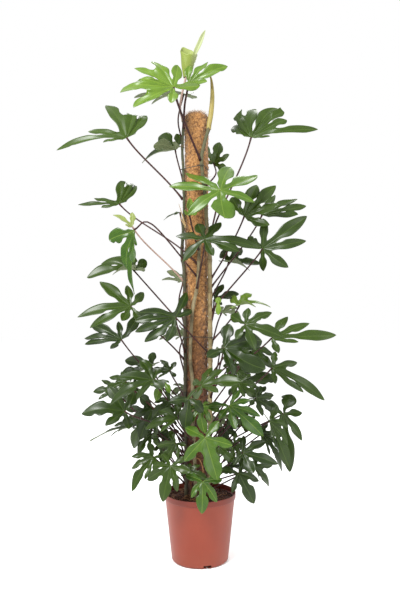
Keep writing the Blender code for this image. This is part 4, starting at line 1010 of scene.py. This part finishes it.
inner_leaves = [
    # smaller leaves that fill the plant between the others, front, sides and back
    Leaf("inner_leaf_01", "left", 0.36, (-0.294, 0.060, 0.558), (-0.072, 0.00, -0.006),
         (-0.1, -0.75, 0.60), "five", 14, 0.25, None, 20),
    Leaf("inner_leaf_02", "left", 0.33, (-0.198, 0.020, 0.458), (-0.034, 0.00, -0.090),
         (-0.2, -0.90, 0.30), "three", 14, 0.20),
    Leaf("inner_leaf_03", "left", 0.42, (-0.220, 0.080, 0.560), (-0.050, 0.01, -0.046),
         (0.0, -0.80, 0.50), "five", 16, 0.30),
    Leaf("inner_leaf_04", "left", 0.27, (-0.127, 0.050, 0.372), (-0.006, 0.00, -0.062),
         (0.0, -0.90, 0.30), "five", 20, 0.20),
    Leaf("inner_leaf_05", "left", 0.35, (-0.106, 0.050, 0.467), (0.066, 0.00, 0.000),
         (0.0, -0.80, 0.50), "three", 12, 0.20),
    Leaf("inner_leaf_06", "left", 0.52, (-0.121, -0.050, 0.600), (-0.028, -0.01, -0.058),
         (0.0, -0.90, 0.30), "three", 10, 0.20),
    Leaf("inner_leaf_07", "left", 0.54, (-0.104, 0.070, 0.622), (-0.078, 0.01, -0.005),
         (0.0, -0.70, 0.70), "five", 12, 0.30, None, 30),
    Leaf("inner_leaf_08", "front", 0.235, (-0.036, -0.095, 0.318), (0.052, -0.02, -0.018),
         (0.0, -0.70, 0.70), "five", 12, 0.30),
    Leaf("inner_leaf_09", "front", 0.47, (-0.034, -0.135, 0.558), (-0.016, -0.03, -0.088),
         (-0.1, -0.90, 0.30), "three", 8, 0.20),
    Leaf("inner_leaf_10", "right", 0.56, (0.107, 0.080, 0.640), (0.056, 0.00, -0.054),
         (0.2, -0.80, 0.50), "seven", 12, 0.25),
    Leaf("inner_leaf_11", "right", 0.60, (0.150, 0.090, 0.690), (0.090, 0.00, -0.036),
         (0.0, -0.70, 0.70), "seven", 18, 0.30, None, 30),
    Leaf("inner_leaf_12", "right", 0.80, (0.060, -0.035, 0.880), (-0.002, -0.01, -0.062),
         (0.2, -0.90, 0.30), "single", 10, 0.15),
    Leaf("inner_leaf_13", "right", 0.78, (0.048, 0.050, 0.868), (0.082, 0.00, 0.022),
         (0.0, -0.70, 0.60), "three", 14, 0.20),
    Leaf("inner_leaf_14", "right", 0.37, (0.100, 0.030, 0.470), (0.002, 0.00, -0.062),
         (0.2, -0.90, 0.30), "single", 12, 0.20),
    Leaf("inner_leaf_15", "right", 0.33, (0.140, 0.030, 0.440), (0.020, 0.00, 0.062),
         (0.0, -0.90, 0.30), "five", 16, 0.20),
    Leaf("inner_leaf_16", "right", 0.25, (0.098, 0.050, 0.300), (0.056, -0.01, -0.010),
         (0.0, -0.70, 0.70), "five", 16, 0.30),
    Leaf("inner_leaf_17", "left", 1.100, (-0.068, 0.030, 1.165), (-0.056, 0.00, -0.018),
         (0.0, -0.60, 0.80), "single", 12, 0.20),
    Leaf("inner_leaf_18", "left", 0.30, (-0.190, 0.110, 0.470), (-0.080, 0.02, -0.050),
         (0.0, -0.60, 0.70), "five", 16, 0.30, None, 30),
    Leaf("inner_leaf_19", "right", 0.40, (0.200, 0.110, 0.520), (0.076, 0.02, -0.050),
         (0.0, -0.60, 0.70), "seven", 18, 0.30, None, 30),
    Leaf("inner_leaf_20", "left", 0.62, (-0.055, 0.120, 0.740), (-0.086, 0.04, -0.010),
         (0.1, 0.45, 0.85), "seven", 14, 0.30, (-0.070, 0.050, 0.690), 25),
    Leaf("inner_leaf_21", "right", 0.56, (0.070, 0.120, 0.680), (0.090, 0.04, -0.020),
         (0.0, 0.45, 0.85), "seven", 14, 0.30, (0.058, 0.050, 0.630), 25),
    Leaf("inner_leaf_22", "left", 0.44, (-0.050, 0.130, 0.560), (0.020, 0.04, -0.095),
         (0.0, 0.80, 0.50), "fingered", 10, 0.25, (-0.070, 0.050, 0.520), 15),
    Leaf("inner_leaf_23", "right", 0.34, (0.060, 0.130, 0.450), (0.030, 0.04, -0.090),
         (0.1, 0.80, 0.50), "fingered", 10, 0.25, (0.058, 0.050, 0.410), 15),
    Leaf("inner_leaf_24", "left", 0.78, (-0.060, 0.115, 0.930), (-0.074, 0.05, 0.010),
         (0.0, 0.45, 0.85), "five", 16, 0.30, (-0.072, 0.045, 0.860), 30),
    Leaf("inner_leaf_25", "right", 0.70, (0.075, 0.110, 0.820), (0.070, 0.05, 0.000),
         (0.0, 0.45, 0.85), "five", 16, 0.30, (0.058, 0.048, 0.780), 30),
    Leaf("inner_leaf_26", "right", 0.30, (0.082, 0.020, 0.432), (0.016, 0.00, -0.078),
         (0.1, -0.85, 0.40), "five", 12, 0.25),
    Leaf("inner_leaf_27", "right", 0.26, (0.112, -0.020, 0.392), (0.030, -0.01, -0.062),
         (0.1, -0.85, 0.40), "seven", 12, 0.25),
    Leaf("inner_leaf_28", "left", 0.31, (-0.106, 0.010, 0.424), (-0.024, 0.00, -0.078),
         (-0.1, -0.85, 0.40), "five", 12, 0.25),
    Leaf("inner_leaf_29", "left", 0.28, (-0.166, 0.030, 0.412), (-0.050, 0.00, -0.060),
         (-0.1, -0.85, 0.40), "seven", 12, 0.25),
    Leaf("inner_leaf_30", "left", 0.44, (-0.098, -0.050, 0.540), (-0.054, -0.01, -0.050),
         (-0.1, -0.80, 0.50), "five", 12, 0.25),
    Leaf("inner_leaf_31", "right", 0.45, (0.128, 0.000, 0.588), (0.060, -0.01, -0.050),
         (0.1, -0.80, 0.50), "seven", 12, 0.25),
    Leaf("inner_leaf_32", "left", 0.40, (-0.252, 0.020, 0.590), (-0.070, 0.00, -0.030),
         (-0.1, -0.80, 0.50), "seven", 14, 0.25),
    Leaf("inner_leaf_33", "right", 0.38, (0.186, -0.020, 0.540), (0.064, 0.00, -0.042),
         (0.1, -0.80, 0.50), "five", 14, 0.25),
    Leaf("inner_leaf_34", "front", 0.30, (0.060, -0.110, 0.400), (0.044, -0.01, -0.052),
         (0.1, -0.85, 0.40), "five", 10, 0.25),
    Leaf("inner_leaf_35", "front", 0.29, (-0.078, -0.100, 0.408), (-0.040, -0.01, -0.058),
         (-0.1, -0.85, 0.40), "five", 10, 0.25),
]
young_leaves = {"leaf_01", "leaf_02", "leaf_08", "leaf_10", "leaf_18", "leaf_31", "leaf_32",
                "leaf_33", "leaf_35", "leaf_41", "inner_leaf_06", "inner_leaf_12"}
unfurling_leaves = {"new_leaf", "leaf_11"}
# Each listed leaf's lightness: partly its own colour, and partly painted sheen, as on leaf_13 and
# leaf_14, which are set lighter for the sheen they show.
leaf_tones_with_painted_sheen = {"leaf_01": 0.62, "leaf_02": 0.50, "leaf_08": 0.34, "leaf_10": 0.10,
              "leaf_05": 0.60, "leaf_07": 0.95, "leaf_18": 0.90, "leaf_31": 0.24,
              "leaf_32": 0.22, "leaf_33": 0.14,
              "leaf_35": 0.95, "leaf_41": 0.08, "inner_leaf_06": 0.40, "inner_leaf_12": 1.00,
              "leaf_04": 0.80, "leaf_06": 0.70, "leaf_09": 0.55, "leaf_36": 0.75,
              "leaf_13": 0.60, "leaf_14": 0.50, "leaf_16": 0.40, "leaf_19": 0.60}
leaf_seed = 27
stalk_radius = 0.0026
stout_stalks = {"leaf_01": 1.40, "leaf_02": 1.3, "new_leaf": 1.4, "leaf_08": 1.1,
                "leaf_04": 1.15, "leaf_06": 1.1}
stalk_lean = 0.15
stalk_most_rise = 0.55
stalk_knee = 0.40
blade_thickness = 0.0008
back_sinus_angle = 26
back_sinus_depth = 0.24
raised_from = 20                # degrees off the end lobe where the halves start to rise more,
raised_over = 45                # and over how many they reach their full slope
web_steps = 4                   # stations from the junction to the sinus
lobe_steps = 22                 # stations from the sinus to the tip
lobe_columns = 8                # grid columns across a lobe
roll_columns, roll_rows = 36, 24
stalk_steps = 24


def blade_frame(leaf):
    """The blade's own axes at the junction, raised so that the drooping tip ends in its place."""
    chord = Vector(leaf.tip).normalized()
    up = Vector(leaf.face)
    up = (up - up.dot(chord) * chord).normalized()
    along = (chord + leaf.droop * up).normalized()
    up = (up - leaf.droop * chord).normalized()
    across = up.cross(along)
    axes = Matrix((along, across, up)).transposed().to_4x4()
    axes.translation = Vector(leaf.at)
    return axes


def lobe_list(leaf, dice):
    """Each lobe's angle, length, half-breadth and parting, in order round the junction."""
    size = Vector(leaf.tip).length
    end_breadth, pairs = leaf_forms[leaf.form]
    looseness = 0.2 if leaf.form == leaf.name else 1.0
    lobes = [(0.0, size, size * end_breadth / 2, 0.0)]
    for angle, reach, breadth, parting, *single in pairs:
        for side in single or (1, -1):
            turn = math.radians(side * angle + dice.uniform(-9, 9) * looseness)
            length = size * reach * (1 + dice.uniform(-0.20, 0.12) * looseness)
            lobes.append((turn, length, length * breadth * dice.uniform(0.90, 1.10) / 2, parting))
    return sorted(lobes)


def sinus_point(lobe, neighbour, side):
    """Where a lobe parts from its neighbour, as the lobe sees it: along and off its midrib."""
    if neighbour:
        outer = max(lobe, neighbour, key=lambda each: abs(each[0]))
        angle = (neighbour[0] - lobe[0]) / 2
        reach = outer[3] * (lobe[1] + neighbour[1]) / 2
    else:
        angle = side * math.radians(back_sinus_angle)
        reach = back_sinus_depth * lobe[1]
    return reach * math.cos(angle), abs(reach * math.sin(angle))


def blade_fold(leaf, flat_x, flat_y):
    """How far a point's half of the blade is folded up: most beside and behind the junction."""
    turn = abs(math.degrees(math.atan2(flat_y, flat_x)))
    share = min(1.0, max(0.0, (turn - raised_from) / raised_over))
    return math.radians(leaf.fold + leaf.raised * share * share * (3 - 2 * share))


def edge_of_lobe(share, length, half_breadth, sinus, notch_at, notch_depth):
    """The free edge from sinus to tip: a rounded bay, a waist, an oval, a tapered point."""
    waist = min(0.78 * half_breadth, 0.90 * sinus[1])
    waist_at = sinus[0] + 0.10 * length
    widest_at = max(0.58 * length, waist_at + 0.12 * length)
    bluntness = 1.8 + 6.0 * max(0.0, half_breadth / length - 0.18)
    if share < 0.18:
        turn = share / 0.18 * math.pi / 2
        return (sinus[0] + (waist_at - sinus[0]) * (1 - math.cos(turn)),
                sinus[1] - (sinus[1] - waist) * math.sin(turn))
    if share < 0.55:
        part = (share - 0.18) / 0.37
        swell = (1 - math.cos(math.pi * part)) / 2
        along, off = waist_at + (widest_at - waist_at) * part, waist + (half_breadth - waist) * swell
    else:
        part = (share - 0.55) / 0.45
        along = widest_at + (length - widest_at) * (1 - (1 - part) ** 1.25)
        off = half_breadth * (1 - part ** bluntness)
    bite = math.exp(-((along / length - notch_at) / 0.045) ** 2)
    off *= 1 - notch_depth * bite
    if sinus[0] > 1.2 * sinus[1]:       # a close neighbour: the two edges never cross
        off = min(off, 0.96 * along * sinus[1] / sinus[0])
    return along, off


def add_blade(piece, leaf, dice):
    """Lay out a leaf's lobes on the open piece, folded, drooping and rippled."""
    lobes = lobe_list(leaf, dice)
    size = Vector(leaf.tip).length
    crease_width = 0.05 * size
    axes = blade_frame(leaf)
    columns, rows = web_steps + lobe_steps, lobe_columns
    for i, lobe in enumerate(lobes):
        turn, length, half_breadth, _ = lobe
        sinus = {-1: sinus_point(lobe, lobes[i - 1] if i else None, -1),
                 1: sinus_point(lobe, lobes[i + 1] if i + 1 < len(lobes) else None, 1)}
        arch = dice.uniform(0.00, 0.22) * length
        sway = dice.uniform(-0.02, 0.16) * length * (-1 if turn > 0 else 1)
        if leaf.form == leaf.name:
            sway *= 0.5
        twist = dice.uniform(-0.7, 0.7)
        ripple = dice.uniform(0.0003, 0.0011)
        phase = dice.uniform(0, math.tau)
        notches = {side: (dice.uniform(0.55, 0.78), 0.34 if dice.random() < 0.08 else 0.0)
                   for side in (-1, 1)}
        gutter = dice.uniform(0.16, 0.30) * half_breadth
        start_at = (sinus[-1][0] + sinus[1][0]) / 2

        def lobe_point(column, row):
            off_share = 2 * row / rows - 1
            side = 1 if off_share >= 0 else -1
            if column <= web_steps:
                edges = {s: (sinus[s][0] * column / web_steps, sinus[s][1] * column / web_steps)
                         for s in (-1, 1)}
                free = 0.0
            else:
                share = (column - web_steps) / lobe_steps
                edges = {s: edge_of_lobe(share, length, half_breadth, sinus[s], *notches[s])
                         for s in (-1, 1)}
                free = share
            middle = (edges[-1][0] + edges[1][0]) / 2
            along = middle + (edges[side][0] - middle) * abs(off_share)
            off = edges[side][1] * off_share
            past = max(0.0, (along - start_at) / (length - start_at)) if free else 0.0
            off += sway * past ** 2
            flat_x = along * math.cos(turn) - off * math.sin(turn)
            flat_y = along * math.sin(turn) + off * math.cos(turn)
            reach = math.hypot(flat_x, flat_y)
            folded = math.hypot(flat_y, crease_width) - crease_width
            dip = (1 - abs(off_share)) ** 1.3 * gutter * min(1.0, 4 * along / length)
            wave = ripple * math.sin(phase + 15 * along / length) * abs(off_share) ** 2
            fold = blade_fold(leaf, flat_x, flat_y)
            height = (folded * math.sin(fold) - leaf.droop * reach * reach / size
                      - dip * (1 - 0.6 * past) - arch * past ** 2
                      + free * wave * 2 + twist * off * past)
            place = axes @ Vector((flat_x, flat_y * math.cos(fold), height))
            return place, (along * 5, 0.5 + off_share * edges[side][1] * 5)

        add_patch(piece, columns, rows, lobe_point)


def rolled_spot(column, row):
    """The new blade, still rolled: a scroll that opens upwards to a ragged, slanting mouth."""
    across, up = column / roll_columns, row / roll_rows
    turn = math.radians(250) + across * math.tau * 1.35
    ragged = 0.010 * noise.noise(Vector((across * 9, 2.0, 0.0))) + 0.021 * math.sin(turn - 0.4)
    radius = (0.011 + 0.018 * up ** 0.8) * (0.70 + 0.36 * across)
    radius += 0.0012 * math.sin(turn * 5 + up * 9) * up
    return Vector((-0.046 + 0.006 * up + radius * math.cos(turn),
                   0.020 + radius * math.sin(turn),
                   1.620 + (0.088 + ragged) * up)), (across * 0.9, 0.5 + up * 0.5)


def stalk_line(leaf):
    """From inside the stem, out and up, to the junction under the blade."""
    junction = Vector(leaf.at)
    centre = point_at_height(stem_lines[leaf.stem], leaf.height)
    first = Vector(leaf.via) if leaf.via else junction
    out = Vector((first.x - centre.x, first.y - centre.y, 0.0)).normalized()
    start = centre + out * stem_radii[leaf.stem] * 0.6
    rise = random.Random(f"stalk {leaf.name}").uniform(0.0, stalk_most_rise)
    leave = ((first - start).normalized() + out * stalk_lean + Vector((0.0, 0.0, rise))).normalized()
    up = blade_frame(leaf).col[2].to_3d()
    arrive = (up * stalk_knee + (junction - start).normalized()).normalized()
    reach = (junction - start).length
    start_pull = start + leave * reach * 0.35
    end_pull = junction - arrive * reach * 0.25
    if leaf.via:
        return smooth_route([start, leaf.via, junction], reach / stalk_steps)
    line = []
    for i in range(stalk_steps + 1):
        t = i / stalk_steps
        s = 1 - t
        line.append(start * s ** 3 + start_pull * 3 * s * s * t + end_pull * 3 * s * t * t
                    + junction * t ** 3)
    return line


def add_stalk(piece, leaf):
    """A wiry stalk with a clasping foot and a thickened knee under the blade."""
    line = stalk_line(leaf)
    run = 0.0
    radii = []
    total = sum((b - a).length for a, b in zip(line, line[1:]))
    for i, point in enumerate(line):
        run += (point - line[i - 1]).length if i else 0.0
        foot = 0.0020 * math.exp(-run / 0.014)
        knee = 0.0008 * math.exp(-((total - run) / 0.012) ** 2)
        radii.append(stalk_radius * stout_stalks.get(leaf.name, 1.0) + foot + knee)
    add_bar(piece, line, radii, 8, material_index=2)


def leaf_finish(name, dark, light, vein, vein_strength, roughness, coat_weight):
    """A leaf surface: mottled green with a midrib and side veins 9 mm apart."""
    material, shader = new_material(name, roughness=roughness, ior=1.45, specular_ior_level=0.30,
                                    coat_weight=coat_weight, coat_roughness=0.24, coat_ior=1.4)
    marks = add_node(material, "UVMap", {"uv_map": "UVMap"})
    split = add_node(material, "SeparateXYZ", {}, {0: marks})
    along = add_node(material, "Math", {"operation": "MULTIPLY", 1: 200.0}, {0: split})
    off = add_node(material, "Math", {"operation": "MULTIPLY_ADD", 1: 200.0, 2: -100.0},
                   {0: split.outputs[1]})
    side = add_node(material, "Math", {"operation": "ABSOLUTE"}, {0: off})
    midrib = add_node(material, "MapRange", {"interpolation_type": "SMOOTHSTEP", "From Min": 1.7,
                                             "From Max": 0.4}, {"Value": side})
    swept = add_node(material, "Math", {"operation": "MULTIPLY_ADD", 1: -1.05}, {0: side, 2: along})
    in_steps = add_node(material, "Math", {"operation": "DIVIDE", 1: 9.0}, {0: swept})
    nearest = add_node(material, "Math", {"operation": "PINGPONG", 1: 0.5}, {0: in_steps})
    side_vein = add_node(material, "MapRange", {"interpolation_type": "SMOOTHSTEP",
                                                "From Min": 0.10, "From Max": 0.02,
                                                "To Max": 0.30}, {"Value": nearest})
    veins = add_node(material, "Math", {"operation": "MAXIMUM"}, {0: midrib, 1: side_vein})
    place = add_node(material, "TexCoord", {})
    patches = add_node(material, "TexNoise", {"Scale": 34.0, "Detail": 3.0}, {"Vector": place})
    tone = add_node(material, "Attribute", {"attribute_name": "tone"})
    blend = add_node(material, "Math", {"operation": "MULTIPLY_ADD", 1: 0.5, 2: -0.25},
                     {0: patches})
    lightness = add_node(material, "Math", {"operation": "ADD", "use_clamp": True},
                         {0: blend, 1: tone.outputs["Fac"]})
    green = add_node(material, "Mix", {"data_type": "RGBA", 6: dark, 7: light}, {0: lightness})
    paleness = add_node(material, "Math", {"operation": "MULTIPLY", 1: vein_strength}, {0: veins})
    veined = add_node(material, "Mix", {"data_type": "RGBA", 7: vein}, {0: paleness, 6: green})
    connect(material, veined, shader.inputs["Base Color"])
    relief = add_node(material, "Bump", {"Strength": 0.20, "Distance": 0.0006, "invert": True},
                      {"Height": midrib})
    connect(material, relief, shader.inputs["Normal"])
    return material


# Cuticle of a mature leaf: waxy, mid to dark green above; dull and greyer below.
mature_upper = leaf_finish("waxy_mature_leaf", "#122103", "#324709", "#506428", 0.30, 0.34, 0.10)
mature_under = leaf_finish("dull_leaf_underside", "#4E5A3A", "#6A7450", "#828A66", 0.5, 0.60, 0.0)
# A young leaf is thinner and yellower and shines more.
young_upper = leaf_finish("glossy_young_leaf", "#234208", "#5F7A22", "#84983E", 0.30, 0.32, 0.14)
young_under = leaf_finish("young_leaf_underside", "#52662C", "#6C8040", "#8C9A60", 0.5, 0.55, 0.0)
# A leaf that is still opening is soft and pale yellow-green.
opening_upper = leaf_finish("soft_opening_leaf", "#6A7828", "#8A9266", "#929A70", 0.5, 0.46, 0.0)
opening_under = leaf_finish("opening_leaf_underside", "#7E8A48", "#98A266", "#AEB684", 0.5, 0.6,
                            0.0)


def stalk_finish(name, dark, light):
    """A stalk's smooth skin, flecked lengthwise."""
    material, shader = new_material(name, roughness=0.42, ior=1.45, specular_ior_level=0.3)
    place = add_node(material, "TexCoord", {})
    flecks = add_node(material, "TexNoise", {"Scale": 130.0, "Detail": 3.0}, {"Vector": place})
    spread = add_node(material, "MapRange", {"From Min": 0.40, "From Max": 0.70}, {"Value": flecks})
    skin = add_node(material, "Mix", {"data_type": "RGBA", 6: dark, 7: light}, {0: spread})
    connect(material, skin, shader.inputs["Base Color"])
    return material


# The skin of a stalk is smooth and satin: maroon when mature, pale rose while its leaf opens.
maroon_stalk = stalk_finish("maroon_stalk_skin", "#220A07", "#3E1710")
rosy_stalk = stalk_finish("rosy_stalk_skin", "#8A6E62", "#968478")


def grow_leaf(leaf, piece_name, upper, under, stalk, tone):
    """A whole leaf with its stalk, as one finished piece."""
    dice = random.Random(f"{leaf_seed} {leaf.name}")
    piece = start_piece(piece_name)
    if leaf.name == "new_leaf":
        add_patch(piece, roll_columns, roll_rows, rolled_spot)
    add_blade(piece, leaf, dice)
    close_piece(piece, upper, under, stalk, weld=0.00005)
    sheet = piece.modifiers.new("thickness", "SOLIDIFY")
    sheet.thickness = blade_thickness
    sheet.offset = 0.0
    sheet.material_offset = 1
    sheet.material_offset_rim = 0
    bpy.ops.object.modifier_apply(modifier="thickness")
    bpy.ops.object.mode_set(mode="EDIT")
    add_stalk(piece, leaf)
    bpy.ops.object.mode_set(mode="OBJECT")
    tones = piece.data.attributes.new("tone", "FLOAT", "POINT")
    tones.data.foreach_set("value", [tone] * len(tones.data))
    if leaf.name == "new_leaf":         # the free tip of the midrib is the palest part
        for vert, shade in zip(piece.data.vertices, tones.data):
            shade.value = 0.10 + 1.1 * min(1.0, max(0.0, (vert.co.x + 0.030) / 0.020))
    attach(piece, "root")
    return piece


for leaf in leaves + inner_leaves:
    tone = leaf_tones_with_painted_sheen.get(leaf.name, random.Random(f"tone {leaf.name}").uniform(0.10, 0.65))
    if leaf.name in unfurling_leaves:
        piece = grow_leaf(leaf, f"{leaf.name}_grown", opening_upper, opening_under, rosy_stalk,
                          tone)
    elif leaf.name in young_leaves:
        piece = grow_leaf(leaf, f"{leaf.name}_grown", young_upper, young_under, maroon_stalk, tone)
    else:
        piece = grow_leaf(leaf, f"{leaf.name}_grown", mature_upper, mature_under, maroon_stalk,
                          tone)
    if leaf in leaves:
        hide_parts(leaf.name)


# ---- Studio ------------------------------------------------------------------------------
# A plain pale floor, a white surround and three soft boxes; the camera stands level in
# front of the plant at the height of its middle.

deselect_all()
bpy.ops.mesh.primitive_plane_add(size=24.0, location=(0.0, 0.0, -0.0005))
floor = bpy.context.object
floor.name = "studio_floor"
# Matt white paint, which shows nothing but the plant's shadow.
floor_paint, _ = new_material("matt_white_floor_paint", base_color="#FFFFFF", roughness=0.9)
floor.data.materials.append(floor_paint)
floor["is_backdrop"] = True

world = bpy.data.worlds.new("white_surround")
world.use_nodes = True
background = world.node_tree.nodes["Background"]
background.inputs["Color"].default_value = colour("#FFFFFF")
background.inputs["Strength"].default_value = 1.0
bpy.context.scene.world = world


def soft_box(name, spot, aim, size, power):
    """A square area lamp at a spot, turned to face the aim."""
    lamp = bpy.data.lights.new(name, "AREA")
    lamp.size = size
    lamp.energy = power
    lamp_object = bpy.data.objects.new(name, lamp)
    lamp_object.location = spot
    lamp_object.rotation_euler = (Vector(aim) - Vector(spot)).to_track_quat("-Z", "Y").to_euler()
    bpy.context.scene.collection.objects.link(lamp_object)


soft_box("key_box", (-1.3, -1.9, 3.1), (0.0, 0.0, 0.9), 1.1, 150.0)
soft_box("fill_box", (2.2, -1.8, 1.6), (0.0, 0.0, 0.8), 1.6, 30.0)
soft_box("back_box", (0.4, 2.4, 2.8), (0.0, 0.0, 1.0), 1.6, 40.0)

camera_lens = 39.3              # millimetres
camera_distance = 2.2
camera_height = 0.867
camera_data = bpy.data.cameras.new("front_camera")
camera_data.lens = camera_lens
camera = bpy.data.objects.new("front_camera", camera_data)
camera.location = (0.0, -camera_distance, camera_height)
camera.rotation_euler = (math.radians(90), 0.0, 0.0)
bpy.context.scene.collection.objects.link(camera)
bpy.context.scene.camera = camera
bpy.context.scene.view_settings.view_transform = "Standard"

low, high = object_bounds()
